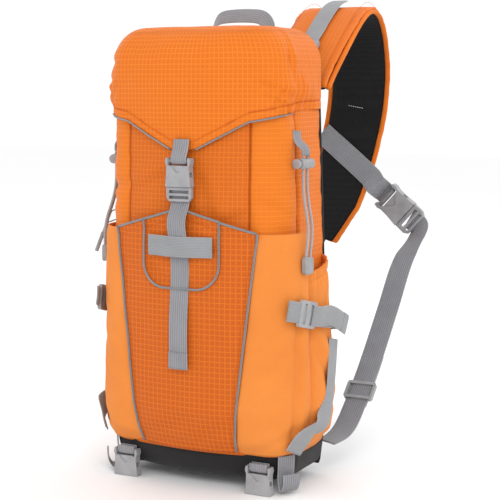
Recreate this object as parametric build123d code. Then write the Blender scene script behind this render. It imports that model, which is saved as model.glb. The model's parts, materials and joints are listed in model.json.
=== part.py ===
"""A sling daypack: a top-loading pack with a hinged lid, stretch pockets and one broad shoulder strap.

Frame: the origin is the point inside the haul loop where a hook bears. +Z is up, +Y points to the
wearer's back and -Y to the pack's front, and +X is the side that the stabiliser strap leaves from.
Lengths are in millimetres.
"""
from build123d import *
import os
from math import asin, cos, pi, radians, sin

# ---- overall sizes
PACK_HEIGHT = 440.0
CREST_DROP = 18.0  # from the hook's bearing point down to the lid's crest
LID_HEIGHT = 81.0
LID_POINT_DROP = 118.0  # from the crest to the lid's V point
TOP_WIDTH = 182.0
WAIST_WIDTH = 196.0
BELLY_WIDTH = 208.0
FOOT_WIDTH = 192.0
TOP_DEPTH = 108.0
WAIST_DEPTH = 113.0
BELLY_DEPTH = 114.0
FOOT_DEPTH = 92.0
FRONT_SEAM = 66.0  # half the distance between the two front seams
FRONT_CROWN = 8.0  # how far the front panel bulges past those seams
SIDE_DEPTH = 61.0  # length of the flat side panel behind each corner panel
CORNER_BULGE = 11.0

# ---- fabric, foam and webbing
WALL = 2.0
BOOT_HEIGHT = 26.0
BOOT_WALL = 3.0
BACK_PLATE = 5.0
BACK_PAD = 8.0
FRAME_SHEET = 1.5
LAYER_GAP = 0.3  # between two layers of fabric that only lie on each other
LID_GAP = 1.0
LID_SKIN = 2.5
LID_PUFF = 1.0  # how much fuller the lid's corners are than the sack's
WEBBING = 20.0
WIDE_WEBBING = 25.0
WEBBING_THICKNESS = 1.4
PIPING = 2.4
PIPING_RISE = 1.4
CORD = 2.6

# ---- front stuff pocket
POCKET_RISE = 12.0  # height of the pocket's corners above the waist
POCKET_TOP_HALF = 77.0
POCKET_FOOT_HALF = 49.0
POCKET_PEAK = 22.0  # rise of the pocket's edge from its corners to its middle
POCKET_LAYER = 8.0
FLANK_BULGE = 11.0
U_HALF = 41.0
U_DROP = 64.0

# ---- side pockets
SIDE_POCKET_BULGE = 15.0
SIDE_POCKET_WALL = 1.5
SIDE_POCKET_HEIGHT = 172.0

# ---- shoulder strap
STRAP_PAD = 8.0
STRAP_LINING = 2.5

# ---- haul loop
HAUL_SPAN = 62.0
HAUL_WIDTH = 17.0
HAUL_SETBACK = 9.0  # from the back plane to the middle of the haul loop's top

# ---- levels, all measured from the hook's bearing point
CREST_Z = -CREST_DROP
BASE_Z = CREST_Z - PACK_HEIGHT
BOOT_Z = BASE_Z + BOOT_HEIGHT
BELLY_Z = BASE_Z + 70.0
WAIST_Z = BASE_Z + 232.0
MOUTH_Z = CREST_Z - 26.0
LID_HEM_Z = CREST_Z - LID_HEIGHT
LID_POINT_Z = CREST_Z - LID_POINT_DROP
POCKET_CORNER_Z = WAIST_Z + POCKET_RISE
POCKET_PEAK_Z = POCKET_CORNER_Z + POCKET_PEAK
POCKET_HEM_Z = BOOT_Z + 4.0
SIDE_POCKET_FLOOR_Z = BOOT_Z + 4.0
SIDE_POCKET_TOP_Z = SIDE_POCKET_FLOOR_Z + SIDE_POCKET_HEIGHT
PANEL_REAR_Y = -6.0  # where the side panels meet the back plate
BACK_FACE_Y = PANEL_REAR_Y + BACK_PLATE

# (level, half width, depth at the centre of the front)
BODY_LEVELS = [
    (BASE_Z, FOOT_WIDTH / 2, FOOT_DEPTH),
    (BOOT_Z, (FOOT_WIDTH + 8) / 2, FOOT_DEPTH + 12),
    (BELLY_Z, BELLY_WIDTH / 2, BELLY_DEPTH),
    (WAIST_Z, WAIST_WIDTH / 2, WAIST_DEPTH),
    (MOUTH_Z, TOP_WIDTH / 2, TOP_DEPTH),
]


def between(levels, z):
    """Half width and depth at a height, in proportion between the two levels around it."""
    for low, high in zip(levels, levels[1:]):
        if z <= high[0] or high is levels[-1]:
            share = (z - low[0]) / (high[0] - low[0])
            return [a + share * (b - a) for a, b in zip(low[1:], high[1:])]


class Outline:
    """The pack's plan outline at one height, moved outward by an offset along its own normals."""

    def __init__(self, z, offset=0.0, rear=PANEL_REAR_Y, puff=0.0):
        half, depth = between(BODY_LEVELS, z)
        radius = (FRONT_SEAM**2 + FRONT_CROWN**2) / (2 * FRONT_CROWN)
        lean = asin(FRONT_SEAM / radius)
        seam_y = -(depth - FRONT_CROWN)
        chord = Vector(half - FRONT_SEAM, -SIDE_DEPTH - seam_y)
        away = Vector(chord.Y, -chord.X).normalized()
        middle = Vector(FRONT_SEAM, seam_y) + chord * 0.5 + away * (CORNER_BULGE + puff)
        self.centre = Vector(0, -depth - offset)
        self.seam = Vector(FRONT_SEAM + offset * sin(lean), seam_y - offset * cos(lean))
        self.corner = middle + away * offset
        self.side = Vector(half + offset, -SIDE_DEPTH)
        self.rear = Vector(half + offset, rear)


def left_of(point):
    return Vector(-point.X, point.Y)


def corner_spot(z, share, offset):
    """A point on the right front corner, with the directions along the cloth and away from it."""
    o = Outline(z, offset)
    arc = ThreePointArc(o.seam, o.corner, o.side)
    spot, along = arc @ share, arc % share
    return Vector(spot.X, spot.Y, z), along, Vector(along.Y, -along.X, 0)


def closed_face(edges, z):
    return Pos(0, 0, z) * make_face(edges)


def whole_section(z, offset=0.0, rear=PANEL_REAR_Y, at=None, puff=0.0):
    """The full plan outline as a face: front arc, two corners, two sides and a straight rear edge."""
    o = Outline(z, offset, rear, puff)
    edges = [
        ThreePointArc(left_of(o.seam), o.centre, o.seam),
        ThreePointArc(o.seam, o.corner, o.side),
        Line(o.side, o.rear),
        Line(o.rear, left_of(o.rear)),
        Line(left_of(o.rear), left_of(o.side)),
        ThreePointArc(left_of(o.side), left_of(o.corner), left_of(o.seam)),
    ]
    return closed_face(edges, z if at is None else at)


def front_section(z, inner, outer):
    a, b = Outline(z, outer), Outline(z, inner)
    edges = [
        ThreePointArc(left_of(a.seam), a.centre, a.seam),
        Line(a.seam, b.seam),
        ThreePointArc(b.seam, b.centre, left_of(b.seam)),
        Line(left_of(b.seam), left_of(a.seam)),
    ]
    return closed_face(edges, z)


def corner_section(z, inner, outer):
    a, b = Outline(z, outer), Outline(z, inner)
    edges = [
        ThreePointArc(a.seam, a.corner, a.side),
        Line(a.side, b.side),
        ThreePointArc(b.side, b.corner, b.seam),
        Line(b.seam, a.seam),
    ]
    return closed_face(edges, z)


def side_section(z, inner, outer):
    a, b = Outline(z, outer), Outline(z, inner)
    return closed_face(Polyline(a.side, a.rear, b.rear, b.side, close=True), z)


def raise_panel(section, levels, inner, outer):
    """A fabric panel: one plan section drawn up through the given heights."""
    return loft([section(z, inner, outer) for z in levels], ruled=True)


def prism_y(points, y_low=-400.0, y_high=400.0):
    """A closed outline in X and Z, run along Y, to cut panels to their pattern."""
    edge = Polyline(*[(x, 0, z) for x, z in points], close=True)
    face = make_face(edge).faces()[0]
    flip = 1 if face.normal_at().Y > 0 else -1
    return Pos(0, y_low, 0) * extrude(face, flip * (y_high - y_low))


def strap(points, across, width, thickness):
    """Flat webbing or padding along a route: a rectangle turned to the route at each of its points."""
    points = [Vector(*p) for p in points]
    count = len(points)
    widths = width if isinstance(width, list) else [width] * count
    sides = across if isinstance(across, list) else [across] * count
    sections = []
    for i, here in enumerate(points):
        before = points[max(i - 1, 0)]
        after = points[min(i + 1, count - 1)]
        along = (after - before).normalized()
        side = Vector(*sides[i])
        side = (side - along * side.dot(along)).normalized()
        sections.append(Plane(here, x_dir=side, z_dir=along) * Rectangle(widths[i], thickness))
    return loft(sections, ruled=True)


def corner_point(z, share, offset):
    return corner_spot(z, share, offset)[0]


def swap_sides(points):
    return [(-p[0], p[1], p[2]) for p in points]


def webbing(points, across, width=WEBBING, thickness=WEBBING_THICKNESS):
    return strap(points, across, width, thickness)


parts = {}

# ---------------------------------------------------------------- main sack
TUBE_LEVELS = [BOOT_Z, BELLY_Z, WAIST_Z, MOUTH_Z]


def make_sack():
    parts["front_panel"] = raise_panel(front_section, TUBE_LEVELS, -WALL, 0)
    corner = raise_panel(corner_section, TUBE_LEVELS, -WALL, 0)
    side = raise_panel(side_section, TUBE_LEVELS, -WALL, 0)
    parts["corner_panels"] = Compound(children=[corner, mirror(corner, Plane.YZ)])
    parts["side_panels"] = Compound(children=[side, mirror(side, Plane.YZ)])
    floor_z = BASE_Z + BOOT_WALL
    inset = -BOOT_WALL
    rear = PANEL_REAR_Y - BOOT_WALL
    boot = loft([whole_section(BASE_Z), whole_section(BOOT_Z)], ruled=True)
    top = whole_section(BOOT_Z, inset, rear, at=BOOT_Z + 1)
    parts["base_boot"] = boot - loft([whole_section(floor_z, inset, rear), top], ruled=True)
    inset -= LAYER_GAP
    rear -= LAYER_GAP
    foam_top = BOOT_Z - 8.0
    foam = [whole_section(z, inset, rear) for z in (floor_z + LAYER_GAP, foam_top)]
    parts["base_foam"] = loft(foam, ruled=True)
    # the doubled hem inside the mouth, which the drawcord runs through
    hem = 9.0
    outer = -WALL - 1.0
    rear = PANEL_REAR_Y - 3.5
    band = [whole_section(z, outer, rear) for z in (MOUTH_Z - hem, MOUTH_Z)]
    hole = [whole_section(z, outer - WALL, rear - WALL) for z in (MOUTH_Z - hem, MOUTH_Z)]
    parts["collar_hem"] = loft(band, ruled=True) - loft(hole, ruled=True)


# ---------------------------------------------------------------- back
BACK_TOP_Z = MOUTH_Z + 10.0
PAD_CHANNEL = 9.0
PAD_HALF = 30.0
PAD_TOP_Z = MOUTH_Z - 78.0
PAD_FOOT_Z = BASE_Z + 100.0


def make_back():
    outline = [
        (-FOOT_WIDTH / 2, BASE_Z),
        (FOOT_WIDTH / 2, BASE_Z),
        (BELLY_WIDTH / 2, BELLY_Z),
        (TOP_WIDTH / 2, MOUTH_Z),
        (TOP_WIDTH / 2 - 12, BACK_TOP_Z),
        (12 - TOP_WIDTH / 2, BACK_TOP_Z),
        (-TOP_WIDTH / 2, MOUTH_Z),
        (-BELLY_WIDTH / 2, BELLY_Z),
    ]
    parts["back_panel"] = prism_y(outline, PANEL_REAR_Y, BACK_FACE_Y)
    pad_y = BACK_FACE_Y + BACK_PAD / 2
    block = Box(2 * PAD_HALF, BACK_PAD, PAD_TOP_Z - PAD_FOOT_Z)
    block = fillet(block.edges().filter_by(Axis.Y), 14)
    pad = Pos(PAD_CHANNEL + PAD_HALF, pad_y, (PAD_TOP_Z + PAD_FOOT_Z) / 2) * block
    parts["back_pads"] = Compound(children=[pad, mirror(pad, Plane.YZ)])
    lumbar_height = 64.0
    lumbar = Box(2 * PAD_CHANNEL + 4 * PAD_HALF, BACK_PAD, lumbar_height)
    lumbar = fillet(lumbar.edges().filter_by(Axis.Y), 14)
    lumbar_z = PAD_FOOT_Z - PAD_CHANNEL - lumbar_height / 2
    parts["lumbar_pad"] = Pos(0, pad_y, lumbar_z) * lumbar
    sheet_half = TOP_WIDTH / 2 - 16
    sheet_foot = BOOT_Z + 6.0
    sheet_top = MOUTH_Z - 14.0
    sheet_y = PANEL_REAR_Y - LAYER_GAP
    sheet = Box(2 * sheet_half, FRAME_SHEET, sheet_top - sheet_foot)
    parts["frame_sheet"] = Pos(0, sheet_y - FRAME_SHEET / 2, (sheet_top + sheet_foot) / 2) * sheet
    sleeve_y = sheet_y - FRAME_SHEET - LAYER_GAP
    sleeve_height = 290.0
    sleeve = Box(2 * sheet_half - 10, 1.0, sleeve_height)
    parts["hydration_sleeve"] = Pos(0, sleeve_y - 0.5, sheet_foot + sleeve_height / 2) * sleeve


# ---------------------------------------------------------------- lid
LID_REAR_Y = PANEL_REAR_Y - 0.5
HINGE_Y = LID_REAR_Y - 1.5
HINGE_Z = CREST_Z - 2.0


def lid_section(z, offset, at=None, rear=LID_REAR_Y):
    return whole_section(z, offset, rear, at, LID_PUFF)


def make_lid():
    outer = LID_GAP + LID_SKIN
    dome = [
        lid_section(LID_HEM_Z, outer),
        lid_section(MOUTH_Z, outer),
        lid_section(MOUTH_Z, -2.0, CREST_Z - 9),
        lid_section(MOUTH_Z, -14.0, CREST_Z - 2),
        lid_section(MOUTH_Z, -24.0, CREST_Z),
    ]
    rear = LID_REAR_Y + 5.0
    hollow = [
        lid_section(LID_HEM_Z, LID_GAP, LID_HEM_Z - 1, rear),
        lid_section(MOUTH_Z, LID_GAP, MOUTH_Z, rear),
        lid_section(MOUTH_Z, -2.0 - LID_SKIN, CREST_Z - 10.5, rear),
        lid_section(MOUTH_Z, -14.0 - LID_SKIN, CREST_Z - 4.5, rear),
        lid_section(MOUTH_Z, -24.0 - LID_SKIN, CREST_Z - LID_SKIN, rear),
    ]
    shell = loft(dome, ruled=True) - loft(hollow, ruled=True)
    flap = raise_panel(front_section, [LID_POINT_Z - 2, LID_HEM_Z + 6], LID_GAP, outer)
    point_half = WEBBING / 2 + 3
    pattern = [
        (-FRONT_SEAM, LID_HEM_Z + 5),
        (-FRONT_SEAM, LID_HEM_Z - 6),
        (-point_half, LID_POINT_Z),
        (point_half, LID_POINT_Z),
        (FRONT_SEAM, LID_HEM_Z - 6),
        (FRONT_SEAM, LID_HEM_Z + 5),
    ]
    parts["lid"] = shell + (flap & prism_y(pattern))


# ---------------------------------------------------------------- side-release buckles
class Buckle:
    """A side-release buckle, all in proportion to the webbing that it takes.

    It is drawn flat: X across, Y through its thickness, +Z towards the female half's bar, and its
    mouth, where the male half enters, at Z = 0. Its face looks towards -Y.
    """

    def __init__(self, size):
        scale = size / 20.0
        self.scale = scale
        self.size = size
        self.half = 13.6 * scale
        self.length = 27.5 * scale
        self.thickness = 8.6 * scale
        self.wall = 1.5 * scale
        self.bar = 1.6 * scale
        self.bar_z = self.length - 3.0 * scale
        self.slot_half = 10.7 * scale
        self.slot_z = self.length - 7.3 * scale
        self.slit = 1.5 * scale
        self.cavity_half = 9.6 * scale
        self.cavity_deep = 11.0 * scale
        self.pocket_deep = 15.6 * scale
        self.pocket_near = 2.6 * scale
        self.cavity_thick = self.thickness - 2 * self.wall
        self.window_low = 9.4 * scale
        self.window_high = 13.8 * scale
        self.arm_near = 6.6 * scale
        self.arm_far = 9.1 * scale
        self.arm_root = 0.2
        self.arm_tip = 14.3 * scale
        self.barb = 2.4 * scale
        self.tail = 14.0 * scale
        self.tail_thick = 4.6 * scale
        self.pivot_x = (self.arm_near + self.arm_far) / 2


def flat_plate(points, thickness):
    """A closed X-Z outline, as thick as stated, centred on the buckle's mid-plane."""
    return prism_y(points, -thickness / 2, thickness / 2)


def mirror_outline(points):
    return points + [(-x, z) for x, z in reversed(points)]


def female_half(b):
    waist = b.half - 1.2 * b.scale
    right = [
        (b.half, 0),
        (waist, b.length * 0.45),
        (waist, b.length * 0.72),
        (b.half, b.length * 0.86),
        (b.half - 0.8, b.length),
    ]
    body = flat_plate(mirror_outline(right), b.thickness)
    cavity = Box(2 * b.cavity_half, b.cavity_thick, b.cavity_deep + 1)
    body -= Pos(0, 0, b.cavity_deep / 2 - 0.5) * cavity
    pocket_wide = b.cavity_half - b.pocket_near
    pocket = Box(pocket_wide, b.cavity_thick, b.pocket_deep + 1)
    for sign in (-1, 1):
        x = sign * (b.pocket_near + pocket_wide / 2)
        body -= Pos(x, 0, b.pocket_deep / 2 - 0.5) * pocket
    window = Box(2 * b.half + 2, b.cavity_thick, b.window_high - b.window_low)
    body -= Pos(0, 0, (b.window_low + b.window_high) / 2) * window
    gap_high = b.length - b.slot_z + 1
    body -= Pos(0, 0, b.slot_z + gap_high / 2) * Box(2 * b.slot_half, b.thickness + 2, gap_high)
    groove = [(b.slit, b.slot_z - 7 * b.scale), (b.slot_half - 2, b.slot_z + 1)]
    front = -b.thickness / 2
    body -= prism_y(mirror_outline(groove), front - 1, front + b.wall * 0.8)
    bar = Rot(0, 90, 0) * Cylinder(b.bar, 2 * b.slot_half + 2)
    return body + Pos(0, 0, b.bar_z) * bar


def male_half(b):
    """The shoulder and ladder-lock frame that stay outside the female half's mouth."""
    gap = 0.3
    right = [(b.half, -gap), (b.half, -b.tail * 0.72), (b.half * 0.8, -b.tail)]
    frame = flat_plate(mirror_outline(right), b.tail_thick)
    slot_high = 2.8 * b.scale
    slot = Box(b.size + 1.2, b.thickness, slot_high)
    for share in (0.34, 0.72):
        frame -= Pos(0, 0, -b.tail * share) * slot
    return frame


def buckle_arm(b, sign):
    """One spring arm with its barb, which snaps into the female half's side window."""
    barb_low = b.window_low + 0.5
    barb_high = b.window_high - 0.5
    far = b.arm_far
    points = [
        (b.arm_near, b.arm_root),
        (far, b.arm_root),
        (far, barb_low),
        (far + b.barb, barb_low),
        (far, barb_high),
        (far - 0.8, b.arm_tip),
        (b.arm_near, b.arm_tip),
    ]
    return flat_plate([(sign * x, z) for x, z in points], b.cavity_thick - 0.8)


FRONT_BUCKLE = Buckle(WEBBING)
STRAP_BUCKLE = Buckle(WIDE_WEBBING)


def front_depth(z):
    return between(BODY_LEVELS, z)[1]


FRONT_MOUTH_Z = LID_POINT_Z - 7.5 - FRONT_BUCKLE.length
FRONT_REST = front_depth(FRONT_MOUTH_Z) + LID_GAP + LID_SKIN
FRONT_BUCKLE_Y = -(FRONT_REST + 1.0 + FRONT_BUCKLE.thickness / 2)
FRONT_PLACE = Location((0, FRONT_BUCKLE_Y, FRONT_MOUTH_Z))


def add_buckle(name, b, place):
    parts[f"{name}_female"] = place * female_half(b)
    parts[f"{name}_male"] = place * male_half(b)
    for side, sign in (("right", 1), ("left", -1)):
        parts[f"{name}_{side}_arm"] = place * buckle_arm(b, sign)


def bar_loop(b, lead, thickness=WEBBING_THICKNESS):
    """The bend of a webbing loop round a female half's bar, from its front leg to its rear leg."""
    reach = b.bar + LAYER_GAP + thickness / 2
    bend = [(0, -reach, b.bar_z + lead)]
    for angle in (0, 45, 90, 135, 180):
        turn = radians(angle)
        bend.append((0, -reach * cos(turn), b.bar_z - reach * sin(turn)))
    return bend + [(0, reach, b.bar_z + lead)]


def placed_points(place, points):
    return [(place * Pos(*p)).position for p in points]


def make_front_buckle():
    add_buckle("front_buckle", FRONT_BUCKLE, FRONT_PLACE)
    # the lid's tab is sewn to the V point, goes round the bar and comes back
    tab_top = LID_POINT_Z + 10.0
    face = -(front_depth(tab_top) + LID_GAP + LID_SKIN + LAYER_GAP + WEBBING_THICKNESS / 2)
    bend = placed_points(FRONT_PLACE, bar_loop(FRONT_BUCKLE, 3.0))
    route = [(0, face - WEBBING_THICKNESS - LAYER_GAP, tab_top)] + bend
    parts["lid_tab"] = webbing(route, (1, 0, 0), 17.0)


# ---------------------------------------------------------------- front pocket
def pocket_layer(inner, outer, foot=POCKET_HEM_Z, top=POCKET_PEAK_Z):
    """A layer of cloth over the front and both corners, between two offsets from the sack."""
    levels = [foot] + [z for z in (BELLY_Z, WAIST_Z) if foot < z < top] + [top]
    middle = raise_panel(front_section, levels, inner, outer)
    corner = raise_panel(corner_section, levels, inner, outer)
    return middle + corner + mirror(corner, Plane.YZ)


def pocket_half_at(z):
    """Half the width of the tapered front pocket at a height."""
    share = (z - BASE_Z) / (POCKET_CORNER_Z - BASE_Z)
    return POCKET_FOOT_HALF + share * (POCKET_TOP_HALF - POCKET_FOOT_HALF)


FOOT_HALF = pocket_half_at(POCKET_HEM_Z)
PEAK_SLOPE = POCKET_PEAK / POCKET_TOP_HALF


def edge_trim(trim, sign):
    strip = [
        (sign * (FOOT_HALF - PIPING), POCKET_HEM_Z - 1),
        (sign * FOOT_HALF, POCKET_HEM_Z - 1),
        (sign * POCKET_TOP_HALF, POCKET_CORNER_Z),
        (sign * (POCKET_TOP_HALF - PIPING), POCKET_CORNER_Z),
    ]
    return trim & prism_y(strip)


def u_trim(trim):
    top = POCKET_CORNER_Z + PEAK_SLOPE * (POCKET_TOP_HALF - U_HALF) - 2
    low = top - U_DROP
    rings = []
    for inset in (0, PIPING):
        half, foot = U_HALF - inset, low + inset
        outline = [(-half, 0, top + 5), (4 - half, 0, foot), (half - 4, 0, foot), (half, 0, top + 5)]
        wire = FilletPolyline(*outline, radius=24 - inset)
        face = make_face(wire.edges() + [Line(outline[-1], outline[0])])
        rings.append(extrude(face.faces()[0], 200, both=True))
    below = Pos(0, 0, top - 250) * Box(400, 600, 500)
    return trim & (rings[0] - rings[1]) & below


def make_front_pocket():
    face = [
        (-FOOT_HALF, POCKET_HEM_Z - 1),
        (FOOT_HALF, POCKET_HEM_Z - 1),
        (POCKET_TOP_HALF, POCKET_CORNER_Z),
        (0, POCKET_PEAK_Z),
        (-POCKET_TOP_HALF, POCKET_CORNER_Z),
    ]
    parts["front_pocket"] = pocket_layer(LAYER_GAP, POCKET_LAYER) & prism_y(face)
    trim = pocket_layer(POCKET_LAYER + LAYER_GAP, POCKET_LAYER + LAYER_GAP + PIPING_RISE)
    trims = [edge_trim(trim, 1), edge_trim(trim, -1), u_trim(trim)]
    parts["pocket_piping"] = Compound(children=[s for t in trims for s in t.solids()])
    half = POCKET_TOP_HALF - 3
    low = POCKET_CORNER_Z + 3 * PEAK_SLOPE
    near, far = LAYER_GAP, 3.0
    binding = [(-half, low + near), (0, POCKET_PEAK_Z + near), (half, low + near)]
    binding += [(half, low + far), (0, POCKET_PEAK_Z + far), (-half, low + far)]
    rail = pocket_layer(POCKET_LAYER - 3, POCKET_LAYER, POCKET_CORNER_Z - 2, POCKET_PEAK_Z + 4)
    parts["pocket_top_binding"] = rail & prism_y(binding)
    flank_top = POCKET_CORNER_Z - 1.0
    pattern = [
        (FOOT_HALF + LAYER_GAP, POCKET_HEM_Z - 1),
        (200, POCKET_HEM_Z - 1),
        (200, flank_top),
        (POCKET_TOP_HALF + LAYER_GAP, flank_top),
    ]
    flank = pocket_layer(LAYER_GAP, FLANK_BULGE, POCKET_HEM_Z, flank_top) & prism_y(pattern)
    parts["right_flank"] = flank
    parts["left_flank"] = mirror(flank, Plane.YZ)


def pocket_front_y(z):
    return -(front_depth(z) + POCKET_LAYER)


STRAP_END_Z = CREST_Z - 329.0
STRAP_LIFT = LAYER_GAP + PIPING_RISE + LAYER_GAP + WEBBING_THICKNESS / 2
STRAP_RISE = 1.72  # where it leaves the buckle, in front of the pocket's face


def make_front_strap():
    """Webbing from the male buckle's ladder lock, over the pocket's peak and down to a hemmed end."""
    exit_z = FRONT_MOUTH_Z - FRONT_BUCKLE.tail - 1.0
    over_z = POCKET_PEAK_Z - 6.0
    route = [
        (0, FRONT_BUCKLE_Y + 1.0, exit_z),
        (0, pocket_front_y(exit_z - 6) - STRAP_RISE, exit_z - 6),
        (0, pocket_front_y(over_z) - STRAP_LIFT - 3.0, over_z),
        (0, pocket_front_y(WAIST_Z) - STRAP_LIFT, WAIST_Z),
        (0, pocket_front_y(STRAP_END_Z) - STRAP_LIFT, STRAP_END_Z),
    ]
    hem_length = 15.0
    hem_y = pocket_front_y(STRAP_END_Z) - STRAP_LIFT - WEBBING_THICKNESS
    hem = Box(WEBBING, 1.6 * WEBBING_THICKNESS, hem_length)
    hem = Pos(0, hem_y, STRAP_END_Z + hem_length / 2) * hem
    parts["front_strap"] = webbing(route, (1, 0, 0)) + hem
    # the elastic keeper over the strap, sewn to the pocket at both ends
    keeper_z = WAIST_Z - 2.0
    over = STRAP_LIFT + WEBBING_THICKNESS + 3 * LAYER_GAP
    low = LAYER_GAP + WEBBING_THICKNESS / 2 + 0.3
    near = WEBBING / 2 + 2
    far = U_HALF - PIPING - 3
    face_y = pocket_front_y(keeper_z)
    route = [(-far, face_y + 1.8 - low, keeper_z), (-far * 0.75, face_y + 1.0 - low - 1, keeper_z)]
    route += [(-near, face_y - over, keeper_z), (near, face_y - over, keeper_z)]
    route += swap_sides(reversed(route[:2]))
    parts["strap_keeper"] = webbing(route, (0, 0, 1))


# ---------------------------------------------------------------- side pockets and side straps
def side_wall(z):
    return between(BODY_LEVELS, z)[0]


SIDE_POCKET_FRONT_Y = -SIDE_DEPTH + 0.8
POCKET_REAR_Y = PANEL_REAR_Y - 2.0


def side_pocket_section(z, inset, front):
    near = side_wall(z) + LAYER_GAP - (1.0 if inset else 0)
    bulge = SIDE_POCKET_BULGE - (4.0 if z < BELLY_Z else 0.0)
    far = side_wall(z) + bulge - inset
    rear = POCKET_REAR_Y - inset
    points = [(near, front + inset), (far, front + inset + 14), (far, rear - 4), (near, rear)]
    return closed_face(Polyline(*points, close=True), z)


def side_pocket(front):
    levels = [SIDE_POCKET_FLOOR_Z, BELLY_Z, SIDE_POCKET_TOP_Z]
    body = loft([side_pocket_section(z, 0, front) for z in levels], ruled=True)
    levels = [SIDE_POCKET_FLOOR_Z + 2, BELLY_Z, SIDE_POCKET_TOP_Z + 1]
    hollow = loft([side_pocket_section(z, SIDE_POCKET_WALL, front) for z in levels], ruled=True)
    return body - hollow


def pair(shape):
    return Compound(children=[shape, mirror(shape, Plane.YZ)])


LOCK_Z = SIDE_POCKET_TOP_Z - 36.0


def ladder_lock(length, width, thickness=4.0):
    """A flat frame with two slots and a middle bar: X across the webbing, Z along it."""
    frame = Box(width, thickness, length)
    frame = fillet(frame.edges().filter_by(Axis.Y), 3)
    slot = length * 0.14
    for sign in (-1, 1):
        frame -= Pos(0, 0, sign * length * 0.2) * Box(width - 6.5, thickness + 2, slot)
    return frame


def make_side_straps():
    """A compression strap over each side pocket, with its ladder lock, loose tail and pole strap."""
    lift = FLANK_BULGE + LAYER_GAP
    spot, along, away = corner_spot(LOCK_Z, 0.8, lift + 4.0)
    tilted = (along * cos(radians(14)) - Vector(0, 0, 1) * sin(radians(14))).normalized()
    across = away.cross(tilted)
    lock = Plane(spot, x_dir=across, z_dir=tilted).location * ladder_lock(26.0, 26.0)
    parts["ladder_locks"] = pair(lock)
    half = WEBBING_THICKNESS / 2
    out = side_wall(LOCK_Z - 20) + SIDE_POCKET_BULGE + LAYER_GAP + half + 0.4
    start = spot - tilted * 15
    anchor = [tuple(start - tilted * 11 - away * 1.2), tuple(start - tilted * 1)]
    anchor = webbing(anchor, (0, 0, 1))
    band = [
        tuple(spot + tilted * 15.5 + away * 0.8),
        (out + 1.4, -SIDE_DEPTH + 20, LOCK_Z - 8),
        (out + 0.6, POCKET_REAR_Y - 5, LOCK_Z - 14),
        (out - 5, POCKET_REAR_Y + 1.4, LOCK_Z - 16),
        (out - 12, POCKET_REAR_Y + 1.4, LOCK_Z - 17),
    ]
    band = webbing(band, (0, 0, 1))
    tail = [
        (out + 4.5, -SIDE_DEPTH + 26, LOCK_Z - 7),
        (out + 6.5, -SIDE_DEPTH + 40, LOCK_Z - 13),
        (out + 8.5, -SIDE_DEPTH + 53, LOCK_Z - 20),
    ]
    tail = webbing(tail, (0, 0.3, 1))
    solids = [s for piece in (anchor, band, tail) for s in pair(piece).solids()]
    parts["compression_straps"] = Compound(children=solids)
    # the pole strap falls from the rear of the pocket to the foot of the flank
    low_z = BOOT_Z + 14
    flank_lift = FLANK_BULGE + LAYER_GAP + half
    pocket_out = SIDE_POCKET_BULGE + LAYER_GAP + half
    pole = [
        (side_wall(LOCK_Z - 32) + pocket_out + 1.77, POCKET_REAR_Y - 16, LOCK_Z - 32),
        (side_wall(BELLY_Z + 30) + pocket_out + 2.11, POCKET_REAR_Y - 24, BELLY_Z + 30),
        (side_wall(BELLY_Z + 2) + pocket_out + 1.27, -SIDE_DEPTH + 20, BELLY_Z + 2),
        tuple(corner_point(BELLY_Z - 16, 0.9, flank_lift + 6.5)),
        tuple(corner_point(low_z + 4, 0.7, flank_lift + 3.0)),
        tuple(corner_point(low_z - 8, 0.6, flank_lift + 1.6)),
    ]
    _, foot_along, _ = corner_spot(low_z, 0.6, flank_lift)
    rear_turn, foot_turn = (0, 1, 0.3), tuple(foot_along)
    turns = [rear_turn] * 3 + [(0.15, 0.95, 0.2)] + [foot_turn] * 2
    parts["pole_straps"] = pair(webbing(pole, turns))


# ---------------------------------------------------------------- haul loop
def make_haul_loop():
    half = HAUL_SPAN / 2
    t = WEBBING_THICKNESS
    flat_y = BACK_FACE_Y + LAYER_GAP + t / 2
    flat, turned, upright = (1, 0, 0), (0.7, 0.7, 0), (0, 1, 0)
    leg = [
        (half, flat_y, MOUTH_Z - 26, flat),
        (half, flat_y, BACK_TOP_Z, flat),
        (half, flat_y + 5, BACK_TOP_Z + 10, turned),
        (half - 1, HAUL_SETBACK, -14, upright),
        (half * 0.82, HAUL_SETBACK, -5, upright),
        (half * 0.55, HAUL_SETBACK, t / 2, upright),
    ]
    far_leg = [(-half, flat_y, MOUTH_Z - 26, (-1, 0, 0))]
    far_leg += [(-half, flat_y, BACK_TOP_Z, (-1, 0, 0))]
    far_leg += [(-half, flat_y + 5, BACK_TOP_Z + 10, (-0.7, 0.7, 0))]
    far_leg += [(-x, y, z, upright) for x, y, z, _ in leg[3:]]
    route = leg + far_leg[::-1]
    points = [p[:3] for p in route]
    parts["haul_loop"] = strap(points, [p[3] for p in route], HAUL_WIDTH, t)


# ---------------------------------------------------------------- shoulder strap
# the middle of the padded strap, from its root on the back to its free lower end
PAD_ROUTE = [
    (58, 5, -80),
    (58, 30, -58),
    (58, 60, -34),
    (56, 100, -8),
    (54, 150, 8),
    (52, 190, -14),
    (49, 214, -52),
    (42, 229, -96),
    (34, 226, -146),
    (25, 206, -200),
    (12, 182, -252),
]
PAD_WIDTHS = [80, 80, 80, 80, 80, 76, 74, 74, 74, 72, 50]
PAD_STEPS = 22


def pad_frame(share):
    """Where the strap is at a share of its length, with its directions along and outward."""
    route = Spline(*PAD_ROUTE)
    along = (route % share).normalized()
    side = Vector(1, 0, 0)
    side = (side - along * side.dot(along)).normalized()
    return route @ share, along, side, side.cross(along)


def pad_spot(share, sideways, lift):
    spot, _, side, out = pad_frame(share)
    return tuple(spot + side * sideways + out * lift)


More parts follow.
